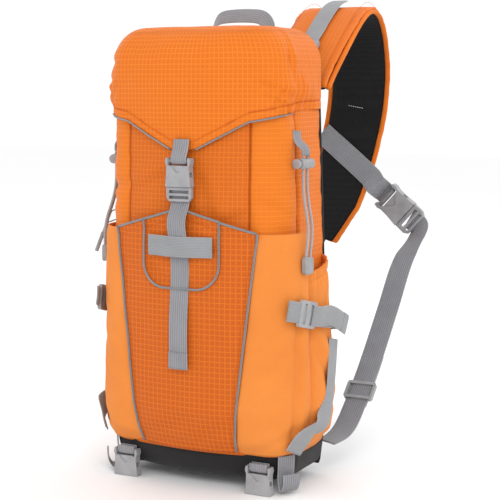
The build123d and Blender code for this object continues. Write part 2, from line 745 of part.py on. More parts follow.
def pad_width(share):
    place = share * (len(PAD_WIDTHS) - 1)
    low = min(int(place), len(PAD_WIDTHS) - 2)
    return PAD_WIDTHS[low] + (place - low) * (PAD_WIDTHS[low + 1] - PAD_WIDTHS[low])


def make_shoulder_strap():
    shares = [i / PAD_STEPS for i in range(PAD_STEPS + 1)]
    widths = [pad_width(share) for share in shares]
    shell = [pad_spot(share, 0, STRAP_LINING / 2) for share in shares]
    parts["shoulder_strap_pad"] = strap(shell, (1, 0, 0), widths, STRAP_PAD)
    lift = (STRAP_LINING - STRAP_PAD) / 2 - LAYER_GAP - STRAP_LINING / 2
    lining = [pad_spot(share, 0, lift) for share in shares]
    narrow = [width - 8 for width in widths]
    parts["shoulder_strap_lining"] = strap(lining, (1, 0, 0), narrow, STRAP_LINING)
    add_buckle("strap_buckle", STRAP_BUCKLE, STRAP_PLACE)
    inner = -(STRAP_PAD + STRAP_LINING) / 2
    # the webbing that leaves the strap's lower end for the pack's far bottom corner
    tail_start = pad_spot(1.0, 0, 0)
    tail = [
        tuple(Vector(*tail_start) + Vector(-1.5, -2.5, -3)),
        (-18, 140, -296),
        (-58, 78, -358),
        (-84, 30, -412),
        (1 - FOOT_WIDTH / 2, 4, BASE_Z + 24),
    ]
    parts["lower_strap_webbing"] = webbing(tail, (1, 0, 0))
    # the stabiliser band lies across the lining and ends at the strap buckle's bar
    rest = inner - LAYER_GAP - 1.6 - WEBBING_THICKNESS / 2
    band, band_turns = [], []
    for i in range(6):
        share = 0.735 + 0.018 * i
        band.append(pad_spot(share, 15.0 * i - 36, rest))
        _, along, side, _ = pad_frame(share)
        band_turns.append(tuple(side * 0.35 - along * 0.94))
    b = STRAP_BUCKLE
    bend = placed_points(STRAP_PLACE, [bar_loop(b, 6.0)[-1]] + list(reversed(bar_loop(b, 5.0)[1:-1])))
    edge = pad_spot(0.838, 45, rest + 2)
    route = band + [edge] + bend
    bar_side = STRAP_PLACE * Pos(1, 0, 0)
    bar_dir = tuple(bar_side.position - STRAP_PLACE.position)
    sides = band_turns + [band_turns[-1]] + [bar_dir] * len(bend)
    parts["stabiliser_band"] = strap(route, sides, WIDE_WEBBING, WEBBING_THICKNESS)
    # the long webbing from the buckle to the pack's near bottom corner
    start = STRAP_PLACE * Pos(0, 0, -b.tail - 5.0)
    points = [
        tuple(start.position),
        (119, 220, -246),
        (114, 200, -264),
        (111, 165, -304),
        (110, 130, -344),
        (110, 92, -381),
        (109, 55, -414),
        (106, 24, -434),
        (100, 4, BASE_Z + 20),
    ]
    turns = [bar_dir, (0.8, 0.1, 0.55), (0.97, 0.1, 0.2)] + [(1, 0, 0)] * 6
    parts["stabiliser_webbing"] = strap(points, turns, WIDE_WEBBING, WEBBING_THICKNESS)
    glide = Plane((109.6, 73.5, -397.5), x_dir=(1, 0, 0), z_dir=(0, -0.75, -0.66)).location
    frame = fillet(Box(WIDE_WEBBING + 7, 5, 22).edges().filter_by(Axis.Y), 3)
    frame -= Box(WIDE_WEBBING + 1.5, 7, 15)
    frame -= Box(WIDE_WEBBING + 1.5, WEBBING_THICKNESS + 0.8, 30)
    parts["triglide"] = glide * frame


STRAP_AXIS = Vector(-0.738, -0.032, 0.674)
STRAP_PLACE = Plane((103.5, 224, -222.5), x_dir=(0.674, 0, 0.738), z_dir=STRAP_AXIS).location


def make_load_lifter():
    """A ladder lock on the strap's outer face, and its webbing to the pack and up the strap."""
    lift = (STRAP_PAD + STRAP_LINING) / 2 + LAYER_GAP + WEBBING_THICKNESS / 2
    lock_share = 0.112
    spot, along, side, out = pad_frame(lock_share)
    centre = spot + out * (lift + 3.4)
    lock = Plane(centre, x_dir=side, z_dir=along).location * ladder_lock(22.0, 27.0)
    parts["load_lifter_lock"] = lock
    upper = [tuple(centre + along * 12.5 - out * 0.5)]
    upper += [pad_spot(share, 0, lift + 1.4) for share in (0.18, 0.22, 0.26, 0.3, 0.34)]
    upper = webbing(upper, (1, 0, 0))
    lower = [
        (57, BACK_FACE_Y + 1.1, BACK_TOP_Z - 14),
        (57, BACK_FACE_Y + 2.0, BACK_TOP_Z - 3),
        (57.5, BACK_FACE_Y + 5.0, BACK_TOP_Z + 2),
        (58, BACK_FACE_Y + 9.0, BACK_TOP_Z + 1),
        tuple(centre - along * 12.5),
    ]
    lower = webbing(lower, (1, 0, 0))
    parts["load_lifter_webbing"] = Compound(children=[upper, lower])


# ---------------------------------------------------------------- loops and buckles at the base
ACCESSORY_MOUTH_Z = BASE_Z - 10.0
LOOP_LEG = 6.0


def accessory_place():
    b = FRONT_BUCKLE
    leg_top = ACCESSORY_MOUTH_Z + b.bar_z + LOOP_LEG
    spot, _, _ = corner_spot(leg_top, 0.12, 1.4 + b.thickness / 2)
    return Location((spot.X, spot.Y, ACCESSORY_MOUTH_Z))


def make_base_fittings():
    b = FRONT_BUCKLE
    place = accessory_place()
    female = place * female_half(b)
    parts["right_accessory_buckle"] = female
    parts["left_accessory_buckle"] = mirror(female, Plane.YZ)
    bend = placed_points(place, bar_loop(b, LOOP_LEG))
    across = tuple((place * Pos(1, 0, 0)).position - place.position)
    loop = webbing(bend, across, WEBBING - 1.0)
    # the webbing loop at the foot of each flank, folded back on itself
    root, along, away = corner_spot(BOOT_Z + 1, 0.6, 2.0)
    drops = [(0, 0), (-0.5, -16), (0, -27), (2, -31.5)]
    drops += [(5.5, -33.5), (9, -31.5), (10.5, -27), (11, -15)]
    foot = [tuple(root + away * out + Vector(0, 0, down)) for out, down in drops]
    fold = webbing(foot, tuple(along), WEBBING - 1.0)
    solids = pair(loop).solids() + pair(fold).solids()
    parts["base_webbing"] = Compound(children=solids)


# ---------------------------------------------------------------- side zipper
ZIP_TOP_Z = CREST_Z - 96.0
ZIP_FOOT_Z = SIDE_POCKET_TOP_Z + 3.0
ZIP_Y = -SIDE_DEPTH + 13.0
SLIDER_LENGTH = 10.0
SLIDERS_MEET_Z = CREST_Z - 186.0


def zip_x(z, lift):
    low, high = side_wall(ZIP_FOOT_Z), side_wall(ZIP_TOP_Z)
    share = (z - ZIP_FOOT_Z) / (ZIP_TOP_Z - ZIP_FOOT_Z)
    return -(low + share * (high - low) + ZIP_LIFT + lift)


ZIP_LIFT = 1.8  # from the side panel to the tape's face


def zip_strip(half, near, far):
    sections = []
    for z in (ZIP_FOOT_Z, ZIP_TOP_Z):
        x0, x1 = zip_x(z, near), zip_x(z, far)
        points = [(x0, ZIP_Y - half), (x1, ZIP_Y - half), (x1, ZIP_Y + half), (x0, ZIP_Y + half)]
        sections.append(closed_face(Polyline(*points, close=True), z))
    return loft(sections, ruled=True)


def make_zipper():
    tape = zip_strip(5.5, -1.4, 0.0)
    teeth = zip_strip(1.6, -0.2, 1.2)
    parts["side_zipper"] = tape + teeth
    for name, sign in (("upper", 1), ("lower", -1)):
        z = SLIDERS_MEET_Z + sign * (SLIDER_LENGTH / 2 + 0.6)
        x = zip_x(z, 0.3)
        slider = Box(3.6, 8.0, SLIDER_LENGTH)
        slider = fillet(slider.edges().filter_by(Axis.X), 1.6)
        slider -= Pos(1.8 - 0.6, 0, 0) * Box(2.0, 3.8, SLIDER_LENGTH + 2)
        bail = Box(4.2, 1.6, 7.6) - Box(2.2, 2.0, 4.6)
        parts[f"{name}_slider"] = Pos(x - 1.8, ZIP_Y, z) * (slider + Pos(-3.4, 0, 0) * bail)
        pin_x = x - 1.8 - 3.4
        # the pull: a moulded eye through the slider's bail, a stem and a gripped end
        reach = 26.0 if name == "upper" else 31.0
        side_y = -5.0 if name == "upper" else -21.0
        start = Vector(pin_x, ZIP_Y, z)
        elbow = Vector(pin_x - 18, ZIP_Y + side_y * 0.4, z - 7)
        tip = Vector(pin_x - reach, ZIP_Y + side_y, SLIDERS_MEET_Z - 24)
        end = tip + (tip - elbow).normalized() * 20
        stem_a = Cylinder(0.7, (elbow - start).length - 7.0)
        along = (elbow - start).normalized()
        stem_a = Plane((start + elbow) * 0.5 + along * 3.5, z_dir=along).location * stem_a
        # the eye that goes through the bail: a small ring in the plane of the bail's hole
        ring_centre = start + along * 3.6
        ring = Plane(ring_centre, z_dir=along.cross(Vector(0, 1, 0))).location * Torus(3.6, 0.6)
        stem_b = Cylinder(1.3, (tip - elbow).length + 2)
        along_b = (tip - elbow).normalized()
        stem_b = Plane((tip + elbow) * 0.5, z_dir=along_b).location * stem_b
        knuckle = Location(elbow) * Sphere(1.6)
        grip = Box(8.0, 4.0, 20.0)
        grip = fillet(grip.edges().filter_by(Axis.Z), 1.6)
        grip = Plane((tip + end) * 0.5, x_dir=(0.5, -0.85, 0), z_dir=along_b).location * grip
        parts[f"{name}_zip_pull"] = ring + stem_a + stem_b + knuckle + grip


# ---------------------------------------------------------------- drawcord locks
LOCK_BODY_Z = MOUTH_Z - 105.0
LOCK_BODY_RADIUS = 5.0
LOCK_BODY_LENGTH = 17.0
PLUNGER_TRAVEL = 3.0
PLUNGER_RADIUS = 3.4
PLUNGER_CLEARANCE = 0.25
STRAND_GAP = 5.8  # between the middles of the cord's two strands
STRAND_SIDE = Vector(0.3, 0.954, 0)  # the strands lie side by side along this
# the middle line between the two strands, from the tab down to the moulded end
CORD_ROUTE = [
    (105.6, -63.5, -142),
    (105.4, -63.4, -160),
    (106.0, -63.9, -178),
    (109.6, -65.8, -194),
    (113.9, -69.4, -209),
    (114.6, -72.6, -223),
    (113.8, -74.0, -234),
    (113.4, -74.2, -240.5),
]


def tangent_radii(points):
    """The largest tangent arc for each corner: 0.45 of its shorter run over tan(half the turn)."""
    radii = []
    for before, here, after in zip(points, points[1:], points[2:]):
        run_in, run_out = here - before, after - here
        half_turn = radians(run_in.get_angle(run_out)) / 2
        radii.append(0.45 * min(run_in.length, run_out.length) * cos(half_turn) / sin(half_turn))
    return radii


def cord_points():
    """Down one strand, round inside the moulded end and up the other."""
    middle = [Vector(*p) for p in CORD_ROUTE]
    side = STRAND_SIDE * (STRAND_GAP / 2)
    return [p - side for p in middle] + [p + side for p in reversed(middle)]


def cord_tube(points, diameter):
    radii = tangent_radii(points)
    path = FilletPolyline(*points, radius=radii)
    start = Plane(path @ 0, z_dir=path % 0)
    tube = sweep(start * Circle(diameter / 2), path)
    expected = path.length * pi * diameter**2 / 4
    print("cord length", round(path.length, 1), "volume share", round(tube.volume / expected, 4))
    return tube


def add_pair(name, shape):
    parts[f"right_{name}"] = shape
    parts[f"left_{name}"] = mirror(shape, Plane.YZ)


def make_drawcords():
    add_pair("drawcord", cord_tube(cord_points(), CORD))
    # the lock's own directions: X along its barrel, Y away from the cloth, Z up
    middle = Vector(105.5, -63.45, LOCK_BODY_Z)
    frame = Plane(middle, x_dir=-STRAND_SIDE, z_dir=(0, 0, 1)).location
    low, high = -9.0, LOCK_BODY_LENGTH - 9.0
    bore_foot = low + 3.5
    along = Rot(0, 90, 0)
    barrel = along * Cylinder(LOCK_BODY_RADIUS, LOCK_BODY_LENGTH)
    barrel = Pos((low + high) / 2, 0, 0) * fillet(barrel.edges(), 1.0)
    bore = along * Cylinder(PLUNGER_RADIUS + PLUNGER_CLEARANCE, high - bore_foot + 1)
    slot_half = STRAND_GAP / 2 + CORD / 2 + 0.6
    slot_wide = CORD + 1.2
    slot = Box(2 * slot_half, slot_wide, 30)
    barrel = barrel - Pos((bore_foot + high + 1) / 2, 0, 0) * bore - slot
    add_pair("cord_lock", frame * barrel)
    rod_foot = bore_foot + PLUNGER_TRAVEL + 0.5
    rod_end = high + PLUNGER_TRAVEL + 0.4
    rod = along * Cylinder(PLUNGER_RADIUS, rod_end - rod_foot)
    rod = Pos((rod_foot + rod_end) / 2, 0, 0) * rod
    button = Pos(rod_end + 1.2, 0, 0) * along * Cylinder(LOCK_BODY_RADIUS - 0.4, 2.4)
    fork_far = slot_half + PLUNGER_TRAVEL
    fork = Pos((fork_far - 20) / 2, 0, 0) * Box(fork_far + 20, slot_wide, 30)
    add_pair("lock_plunger", frame * (rod + button - fork))
    # the moulded end that the two strands run into
    end_high = 17.0
    grip = fillet(Box(12, 5.4, end_high).edges().filter_by(Axis.Y), 3.6)
    tip = Vector(*CORD_ROUTE[-1])
    grip_place = Plane(tip + Vector(0, 0, 3.6 - end_high / 2), x_dir=STRAND_SIDE, z_dir=(0, 0, 1))
    add_pair("cord_end", grip_place.location * grip)
    # the webbing tab that the cord comes out of, sewn into the side seam
    foot = Vector(*CORD_ROUTE[0])
    top = corner_spot(foot.Z + 24, 0.9, 3.0)[0]
    knee = corner_spot(foot.Z + 14, 0.9, 4.5)[0]
    route = [top, knee, foot + Vector(0, 0, 6), foot + Vector(0, 0, LAYER_GAP)]
    tab = strap([tuple(p) for p in route], tuple(STRAND_SIDE), 11.0, 3.2)
    parts["cord_tabs"] = pair(tab)


def make_side_pockets():
    parts["right_side_pocket"] = side_pocket(SIDE_POCKET_FRONT_Y)
    parts["left_side_pocket"] = mirror(side_pocket(SIDE_POCKET_FRONT_Y), Plane.YZ)


BUILDERS = (
    make_sack,
    make_back,
    make_lid,
    make_front_buckle,
    make_front_pocket,
    make_front_strap,
    make_side_straps,
    make_haul_loop,
    make_shoulder_strap,
    make_load_lifter,
    make_base_fittings,
    make_zipper,
    make_drawcords,
    make_side_pockets,
)


def main():
    for build in BUILDERS:
        build()
    os.makedirs("parts", exist_ok=True)
    for name, shape in parts.items():
        export_step(Pos(0, -HAUL_SETBACK, 0) * shape, f"parts/{name}.step")


main()
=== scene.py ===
"""The looks of a sling daypack: its fabrics, webbing, cords and fittings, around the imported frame.

Shapes are worked out in millimetres in the pattern's own frame, whose Y is zero at the pack's back
plane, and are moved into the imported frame, in metres, when their meshes are made.
"""
import json
import math

import bmesh
import bpy
import numpy as np
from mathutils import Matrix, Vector, noise


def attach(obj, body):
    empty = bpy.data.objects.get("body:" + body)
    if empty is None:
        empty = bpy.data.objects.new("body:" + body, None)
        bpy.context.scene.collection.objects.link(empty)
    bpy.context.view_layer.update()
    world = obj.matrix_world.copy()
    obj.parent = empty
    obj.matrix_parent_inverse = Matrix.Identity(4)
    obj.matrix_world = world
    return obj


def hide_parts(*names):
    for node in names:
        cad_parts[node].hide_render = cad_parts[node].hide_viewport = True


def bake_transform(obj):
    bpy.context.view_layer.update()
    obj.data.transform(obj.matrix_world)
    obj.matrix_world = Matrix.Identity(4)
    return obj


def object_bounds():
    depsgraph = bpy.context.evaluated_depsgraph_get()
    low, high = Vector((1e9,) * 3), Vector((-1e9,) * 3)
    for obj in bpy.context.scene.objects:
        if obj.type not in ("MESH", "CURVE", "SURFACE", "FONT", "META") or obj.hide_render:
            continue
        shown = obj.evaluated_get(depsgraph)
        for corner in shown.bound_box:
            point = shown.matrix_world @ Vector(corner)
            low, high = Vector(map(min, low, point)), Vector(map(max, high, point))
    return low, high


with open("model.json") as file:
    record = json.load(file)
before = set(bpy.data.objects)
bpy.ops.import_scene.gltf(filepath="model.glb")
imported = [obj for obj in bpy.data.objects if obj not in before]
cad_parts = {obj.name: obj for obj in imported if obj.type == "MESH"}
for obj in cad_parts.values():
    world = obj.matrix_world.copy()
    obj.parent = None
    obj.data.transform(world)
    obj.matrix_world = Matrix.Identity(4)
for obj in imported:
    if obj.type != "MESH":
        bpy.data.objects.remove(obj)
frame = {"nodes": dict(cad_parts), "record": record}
cad_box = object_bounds()
NODES = frame["nodes"]
SETBACK = 9.0
MM = 0.001


def placed(points):
    """Pattern millimetres to packed metres."""
    points = np.asarray(points, float)
    return (points + (0.0, -SETBACK, 0.0)) * MM


# ---------------------------------------------------------------- camera, lights and floor
CAMERA_AT = (627.9, -1232.3, -75.0)
CAMERA_TURN = 27.0
PITCH = -7.0


def make_stage():
    data = bpy.data.cameras.new("camera")
    data.lens = 96.6
    data.sensor_width = 36.0
    data.shift_x = 0.026
    data.clip_end = 50
    camera = bpy.data.objects.new("camera", data)
    camera.location = placed(CAMERA_AT)
    camera.rotation_euler = (math.radians(90 + PITCH), 0, math.radians(CAMERA_TURN))
    bpy.context.scene.collection.objects.link(camera)
    bpy.context.scene.camera = camera
    bpy.ops.mesh.primitive_plane_add(size=12, location=(0, 0, cad_box[0][2] - 0.0005))
    floor = bpy.context.object
    floor.name = "floor"
    paint = bpy.data.materials.new("floor_paint")
    paint.use_nodes = True
    shader = paint.node_tree.nodes["Principled BSDF"]
    shader.inputs["Base Color"].default_value = (0.94, 0.94, 0.94, 1)
    shader.inputs["Roughness"].default_value = 0.9
    floor.data.materials.append(paint)
    world = bpy.data.worlds.new("studio")
    world.use_nodes = True
    world.node_tree.nodes["Background"].inputs[0].default_value = (1, 1, 1, 1)
    world.node_tree.nodes["Background"].inputs[1].default_value = 1.04
    bpy.context.scene.world = world
    bpy.context.scene.view_settings.view_transform = "Standard"
    for name, spot, aim, size, power in (
        ("key", (1.3, -1.7, 1.3), (0, 0, -0.2), 1.2, 15),
        ("fill", (-1.9, -1.5, 0.5), (0, 0, -0.25), 1.8, 2.5),
        ("rim", (0.8, 1.7, 1.2), (0, 0, -0.2), 1.2, 8),
        ("left_rim", (-1.6, 0.9, 0.7), (0, 0, -0.2), 1.0, 3),
    ):
        lamp = bpy.data.lights.new(name, "AREA")
        lamp.energy = power
        lamp.size = size
        holder = bpy.data.objects.new(name, lamp)
        holder.location = spot
        toward = Vector(aim) - Vector(spot)
        holder.rotation_euler = toward.to_track_quat("-Z", "Y").to_euler()
        bpy.context.scene.collection.objects.link(holder)


make_stage()


# ---------------------------------------------------------------- shader expressions
class Flow:
    """A socket in a material, on which arithmetic adds nodes."""

    def __init__(self, tree, socket):
        self.tree, self.socket = tree, socket

    def add(self, kind, settings=None, inputs=None, out=0):
        """Any node: its settings are set first, then the values or links of its sockets."""
        node = self.tree.nodes.new("ShaderNode" + kind)
        for name, value in (settings or {}).items():
            setattr(node, name, value)
        for name, value in (inputs or {}).items():
            if isinstance(value, Flow):
                self.tree.links.new(value.socket, node.inputs[name])
            else:
                node.inputs[name].default_value = value
        return Flow(self.tree, node.outputs[out])

    def math(self, operation, *values):
        return self.add("Math", {"operation": operation}, dict(enumerate(values)))

    def __add__(self, other):
        return self.math("ADD", self, other)

    def __radd__(self, other):
        return self.math("ADD", other, self)

    def __sub__(self, other):
        return self.math("SUBTRACT", self, other)

    def __rsub__(self, other):
        return self.math("SUBTRACT", other, self)

    def __mul__(self, other):
        return self.math("MULTIPLY", self, other)

    def __rmul__(self, other):
        return self.math("MULTIPLY", other, self)

    def __truediv__(self, other):
        return self.math("DIVIDE", self, other)

    def clamp(self):
        return self.add("Clamp", inputs={"Value": self})

    def near_line(self, pitch, reach):
        """1 on lines a pitch apart, falling to 0 at a reach from each of them."""
        return 1 - (self.math("PINGPONG", self / pitch, 0.5) * (pitch / reach)).clamp()

    def wave(self, pitch):
        return self.math("SINE", self * (2 * math.pi / pitch))

    def mix(self, a, b, how="MIX"):
        """A colour between a and b, with this value as its factor."""
        settings = {"data_type": "RGBA", "blend_type": how}
        return self.add("Mix", settings, {0: self, 6: a, 7: b}, out=2)


def rgba(colour):
    return (*colour, 1.0)


class Finish:
    """A material with one Principled shader, whose constants are set on its own sockets."""

    def __init__(self, name, **constants):
        self.material = bpy.data.materials.new(name)
        self.material.use_nodes = True
        self.tree = self.material.node_tree
        self.shader = self.tree.nodes["Principled BSDF"]
        for key, value in constants.items():
            self.shader.inputs[key.replace("_", " ")].default_value = value
        self.start = Flow(self.tree, None)

    def cloth(self):
        """How far across, how far along and how far from a seam, in millimetres."""
        whole = self.start.add("Attribute", {"attribute_name": "cloth"}, out=1)
        parts = [self.start.add("SeparateXYZ", inputs={0: whole}, out=i) for i in range(3)]
        return whole, parts

    def place(self):
        return self.start.add("TexCoord", out=3)

    def noise(self, scale, where=None, detail=2.0, rough=0.5):
        where = where or self.place()
        values = {"Vector": where, "Scale": scale, "Detail": detail, "Roughness": rough}
        return self.start.add("TexNoise", inputs=values)

    def link(self, name, flow):
        self.tree.links.new(flow.socket, self.shader.inputs[name])
        return self

    def bump(self, height, distance, strength=1.0):
        values = {"Strength": strength, "Distance": distance, "Height": height}
        return self.link("Normal", self.start.add("Bump", inputs=values))


def ripstop(name, base, thread, shade, cell=4.6, across=1.0, along=1.0):
    """Thin nylon with a grid of thicker threads, and painted shade along its seams."""
    f = Finish(name, Sheen_Weight=0.03, Sheen_Roughness=0.45, Specular_IOR_Level=0.22)
    _, (u, v, seam) = f.cloth()
    drift = f.noise(9.0, detail=3.0)
    grid = (u.near_line(cell, 0.75) * across).math("MAXIMUM", u.near_line(cell, 0.75) * across, v.near_line(cell, 0.75) * along)
    weave = u.wave(0.62) * v.wave(0.62)
    colour = (grid * (0.62 + 0.3 * f.noise(60.0))).clamp().mix(rgba(base), rgba(thread))
    colour = (drift * 1.6 - 0.5).clamp().mix(colour, (drift * 0.0 + 0.10).mix(colour, rgba(shade)))
    # painted shade: the cloth darkens towards the shade colour within 2.2 mm of a seam
    colour = ((1 - seam / 2.2).clamp() * 0.55).mix(colour, rgba(shade))
    f.link("Base Color", colour)
    f.link("Roughness", 0.5 + 0.14 * drift - 0.05 * grid)
    return f.bump(grid * 0.6 + weave * 0.25 + f.noise(35.0) * 0.9, 0.00022, 0.85).material


def softshell(name, base, shade):
    """Matt stretch cloth with a fine twill, and painted shade along its seams."""
    f = Finish(name, Sheen_Weight=0.05, Sheen_Roughness=0.5, Specular_IOR_Level=0.12)
    _, (u, v, seam) = f.cloth()
    drift = f.noise(14.0, detail=4.0)
    twill = (u + v).wave(1.1) * 0.5 + (u - v).wave(0.8) * 0.35
    speck = f.noise(900.0, detail=1.0)
    colour = (drift * 1.3 - 0.35).clamp().mix(rgba(base), rgba(shade))
    colour = (speck * 0.5 - 0.1).clamp().mix(colour, rgba(shade))
    # painted shade: darker within 2 mm of a seam
    colour = ((1 - seam / 2.0).clamp() * 0.5).mix(colour, rgba(shade))
    f.link("Base Color", colour)
    f.link("Roughness", 0.72 + 0.12 * speck)
    return f.bump(twill * 0.4 + speck * 0.5, 0.00012, 0.6).material


def webbing_cloth(name, base, dark, rib=2.35):
    """Ribbed webbing: ribs along its length and a fine weave across them, with painted shade in the valleys between
    them.
    """
    f = Finish(name, Sheen_Weight=0.15, Sheen_Roughness=0.4, Specular_IOR_Level=0.35)
    _, (u, v, edge) = f.cloth()
    ribs = u.wave(rib) * 0.5 + 0.5
    picks = (v + u.wave(rib) * 0.35).wave(0.95) * 0.5 + 0.5
    wear = f.noise(55.0, detail=4.0)
    # painted shade: darker in the valleys between the ribs and the picks
    valley_shade = ((1 - ribs) * 0.75 + (1 - picks) * 0.25).clamp()
    colour = (valley_shade * 0.75).mix(rgba(base), rgba(dark))
    light = tuple(min(1.0, c * 1.25 + 0.03) for c in base)
    colour = ((1 - edge / 1.1).clamp() * 0.6).mix(colour, rgba(light))
    colour = (wear * 0.9 - 0.35).clamp().mix(colour, rgba(dark))
    f.link("Base Color", colour)
    f.link("Roughness", 0.58 + 0.2 * wear)
    return f.bump(ribs * 0.8 + picks * 0.35, 0.00035, 0.9).material


def moulded(name, base, rough=0.42, coat=0.0):
    """Satin moulded plastic with a fine spark-eroded grain and slightly paler rubbed spots."""
    f = Finish(name, Specular_IOR_Level=0.5, Coat_Roughness=0.3)
    grain = f.noise(1600.0, detail=2.0)
    rub = f.noise(75.0, detail=5.0, rough=0.65)
    light = tuple(min(1.0, c * 1.16 + 0.015) for c in base)
    dark = tuple(c * 0.86 for c in base)
    colour = (rub * 2.2 - 0.75).clamp().mix(rgba(dark), rgba(light))
    f.link("Base Color", colour)
    f.link("Roughness", rough + 0.18 * rub)
    return f.bump(grain + rub * 0.4, 0.00004, 0.7).material


def mesh_cloth(name, base, light, cell=330.0):
    """Black spacer mesh: small round holes in rows."""
    f = Finish(name, Sheen_Weight=0.08, Sheen_Roughness=0.4, Specular_IOR_Level=0.3)
    place = f.place()
    cells = f.start.add("TexVoronoi", inputs={"Vector": place, "Scale": cell, "Randomness": 0.25})
    fuzz = f.noise(240.0, detail=3.0)
    colour = (cells * 1.4 + fuzz * 0.5 - 0.4).clamp().mix(rgba(base), rgba(light))
    f.link("Base Color", colour)
    f.link("Roughness", 0.78 + 0.12 * fuzz)
    return f.bump(cells * 1.0 + fuzz * 0.3, 0.0006, 0.7).material


def dense_cloth(name, base, light):
    """Heavy plain-woven cloth, with painted shade along its seams."""
    f = Finish(name, Sheen_Weight=0.1, Sheen_Roughness=0.5, Specular_IOR_Level=0.35)
    _, (u, v, seam) = f.cloth()
    weave = u.wave(1.5) * v.wave(1.5)
    drift = f.noise(30.0, detail=4.0)
    colour = (weave * 0.25 + drift * 0.7 - 0.1).clamp().mix(rgba(base), rgba(light))
    # painted shade: near a seam the lighter weave and drift fade back to the darker base colour
    colour = ((1 - seam / 2.0).clamp() * 0.5).mix(colour, rgba(base))
    f.link("Base Color", colour)
    f.link("Roughness", 0.68 + 0.15 * drift)
    return f.bump(weave * 0.5 + drift * 0.8, 0.0003, 0.8).material


def braid(name, base, dark, pitch=1.9):
    """A braided cord: plaits that wind both ways round it, with painted shade in the grooves between them."""
    f = Finish(name, Sheen_Weight=0.15, Sheen_Roughness=0.4, Specular_IOR_Level=0.4)
    place = f.place()
    x, y, z = [f.start.add("SeparateXYZ", inputs={0: place}, out=i) for i in range(3)]
    right = (z * 1000 + (x + y) * 900).wave(pitch)
    left = (z * 1000 - (x - y) * 900).wave(pitch)
    plait = right.math("MAXIMUM", right, left) * 0.5 + 0.5
    # painted shade: darker in the grooves between the plaits
    colour = plait.mix(rgba(dark), rgba(base))
    f.link("Base Color", colour)
    f.link("Roughness", 0.55 + 0.15 * f.noise(300.0))
    return f.bump(plait, 0.0003, 0.8).material


ORANGE = (0.735, 0.160, 0.007)
ORANGE_THREAD = (0.86, 0.245, 0.018)
ORANGE_SHADE = (0.47, 0.072, 0.004)
POCKET_ORANGE = (0.575, 0.108, 0.006)
POCKET_THREAD = (0.80, 0.200, 0.012)
SOFT_ORANGE = (0.83, 0.282, 0.058)
SOFT_SHADE = (0.70, 0.195, 0.032)
GREY = (0.335, 0.335, 0.355)
DARK_GREY = (0.17, 0.17, 0.185)

FINISHES = {
    "lid_cloth": ripstop("lid_cloth", ORANGE, ORANGE_THREAD, ORANGE_SHADE),
    "body_cloth": ripstop("body_cloth", ORANGE, ORANGE_THREAD, ORANGE_SHADE),
    "gusset_cloth": ripstop("gusset_cloth", (0.77, 0.185, 0.010), ORANGE_THREAD, ORANGE_SHADE, across=0.35),
    # the front panel's ripstop is the body's made darker: painted shade for the creases and shadow over the front
    "front_cloth_painted_shade": ripstop("front_cloth_painted_shade", (0.63, 0.128, 0.006), (0.80, 0.205, 0.014), ORANGE_SHADE),
    "pocket_cloth": ripstop("pocket_cloth", POCKET_ORANGE, POCKET_THREAD, ORANGE_SHADE, cell=5.2),
    "strap_cloth": ripstop("strap_cloth", ORANGE, ORANGE_THREAD, ORANGE_SHADE, across=0.6, along=0.4),
    "binding_cloth": softshell("binding_cloth", (0.84, 0.22, 0.02), (0.55, 0.10, 0.01)),
    "flank_cloth": softshell("flank_cloth", SOFT_ORANGE, SOFT_SHADE),
    "webbing": webbing_cloth("webbing", GREY, DARK_GREY),
    "light_webbing": webbing_cloth("light_webbing", (0.355, 0.36, 0.37), (0.24, 0.245, 0.26), rib=1.5),
    "piping_cloth": webbing_cloth("piping_cloth", (0.33, 0.35, 0.365), (0.2, 0.2, 0.21), rib=1.3),
    "plastic": moulded("plastic", (0.335, 0.335, 0.345)),
    "dark_plastic": moulded("dark_plastic", (0.06, 0.06, 0.065), rough=0.35),
    "rubber": moulded("rubber", (0.30, 0.30, 0.30), rough=0.55),
    "black_mesh": mesh_cloth("black_mesh", (0.003, 0.0026, 0.003), (0.012, 0.011, 0.012)),
    "black_cloth": dense_cloth("black_cloth", (0.004, 0.0035, 0.004), (0.012, 0.011, 0.012)),
    "grey_lining": dense_cloth("grey_lining", (0.20, 0.20, 0.21), (0.30, 0.30, 0.31)),
    "cord_braid": braid("cord_braid", (0.42, 0.43, 0.45), (0.20, 0.20, 0.21)),
    "foam": mesh_cloth("foam", (0.05, 0.05, 0.055), (0.10, 0.10, 0.10), cell=800.0),
    "orange_thread": softshell("orange_thread", (0.72, 0.155, 0.008), (0.56, 0.10, 0.005)),
    "grey_thread": softshell("grey_thread", (0.40, 0.41, 0.42), (0.28, 0.28, 0.3)),
    "white_thread": softshell("white_thread", (0.75, 0.75, 0.75), (0.55, 0.55, 0.55)),
}


# ---------------------------------------------------------------- mesh helpers
def new_piece(name, points, faces, finish, body="sack", cloth=None, nodes=(), smooth=True):
    """A mesh piece of the pack, with its own place in its cloth, riding on a body."""
    mesh = bpy.data.meshes.new(name)
    mesh.from_pydata([tuple(p) for p in placed(points)], [], faces)
    if cloth is not None:
        holder = mesh.attributes.new("cloth", "FLOAT_VECTOR", "POINT")
        holder.data.foreach_set("vector", np.asarray(cloth, np.float32).ravel())
    mesh.validate()
    if smooth:
        mesh.shade_smooth()
    piece = bpy.data.objects.new(name, mesh)
    bpy.context.scene.collection.objects.link(piece)
    mesh.materials.append(FINISHES[finish])
    if body:
        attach(piece, body)
    if nodes:
        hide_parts(*nodes)
    return piece


def grid_faces(rows, columns, wrap=False):
    faces = []
    wide = columns if wrap else columns - 1
    for r in range(rows - 1):
        for c in range(wide):
            d = (c + 1) % columns
            faces.append((r * columns + c, r * columns + d, (r + 1) * columns + d, (r + 1) * columns + c))
    return faces


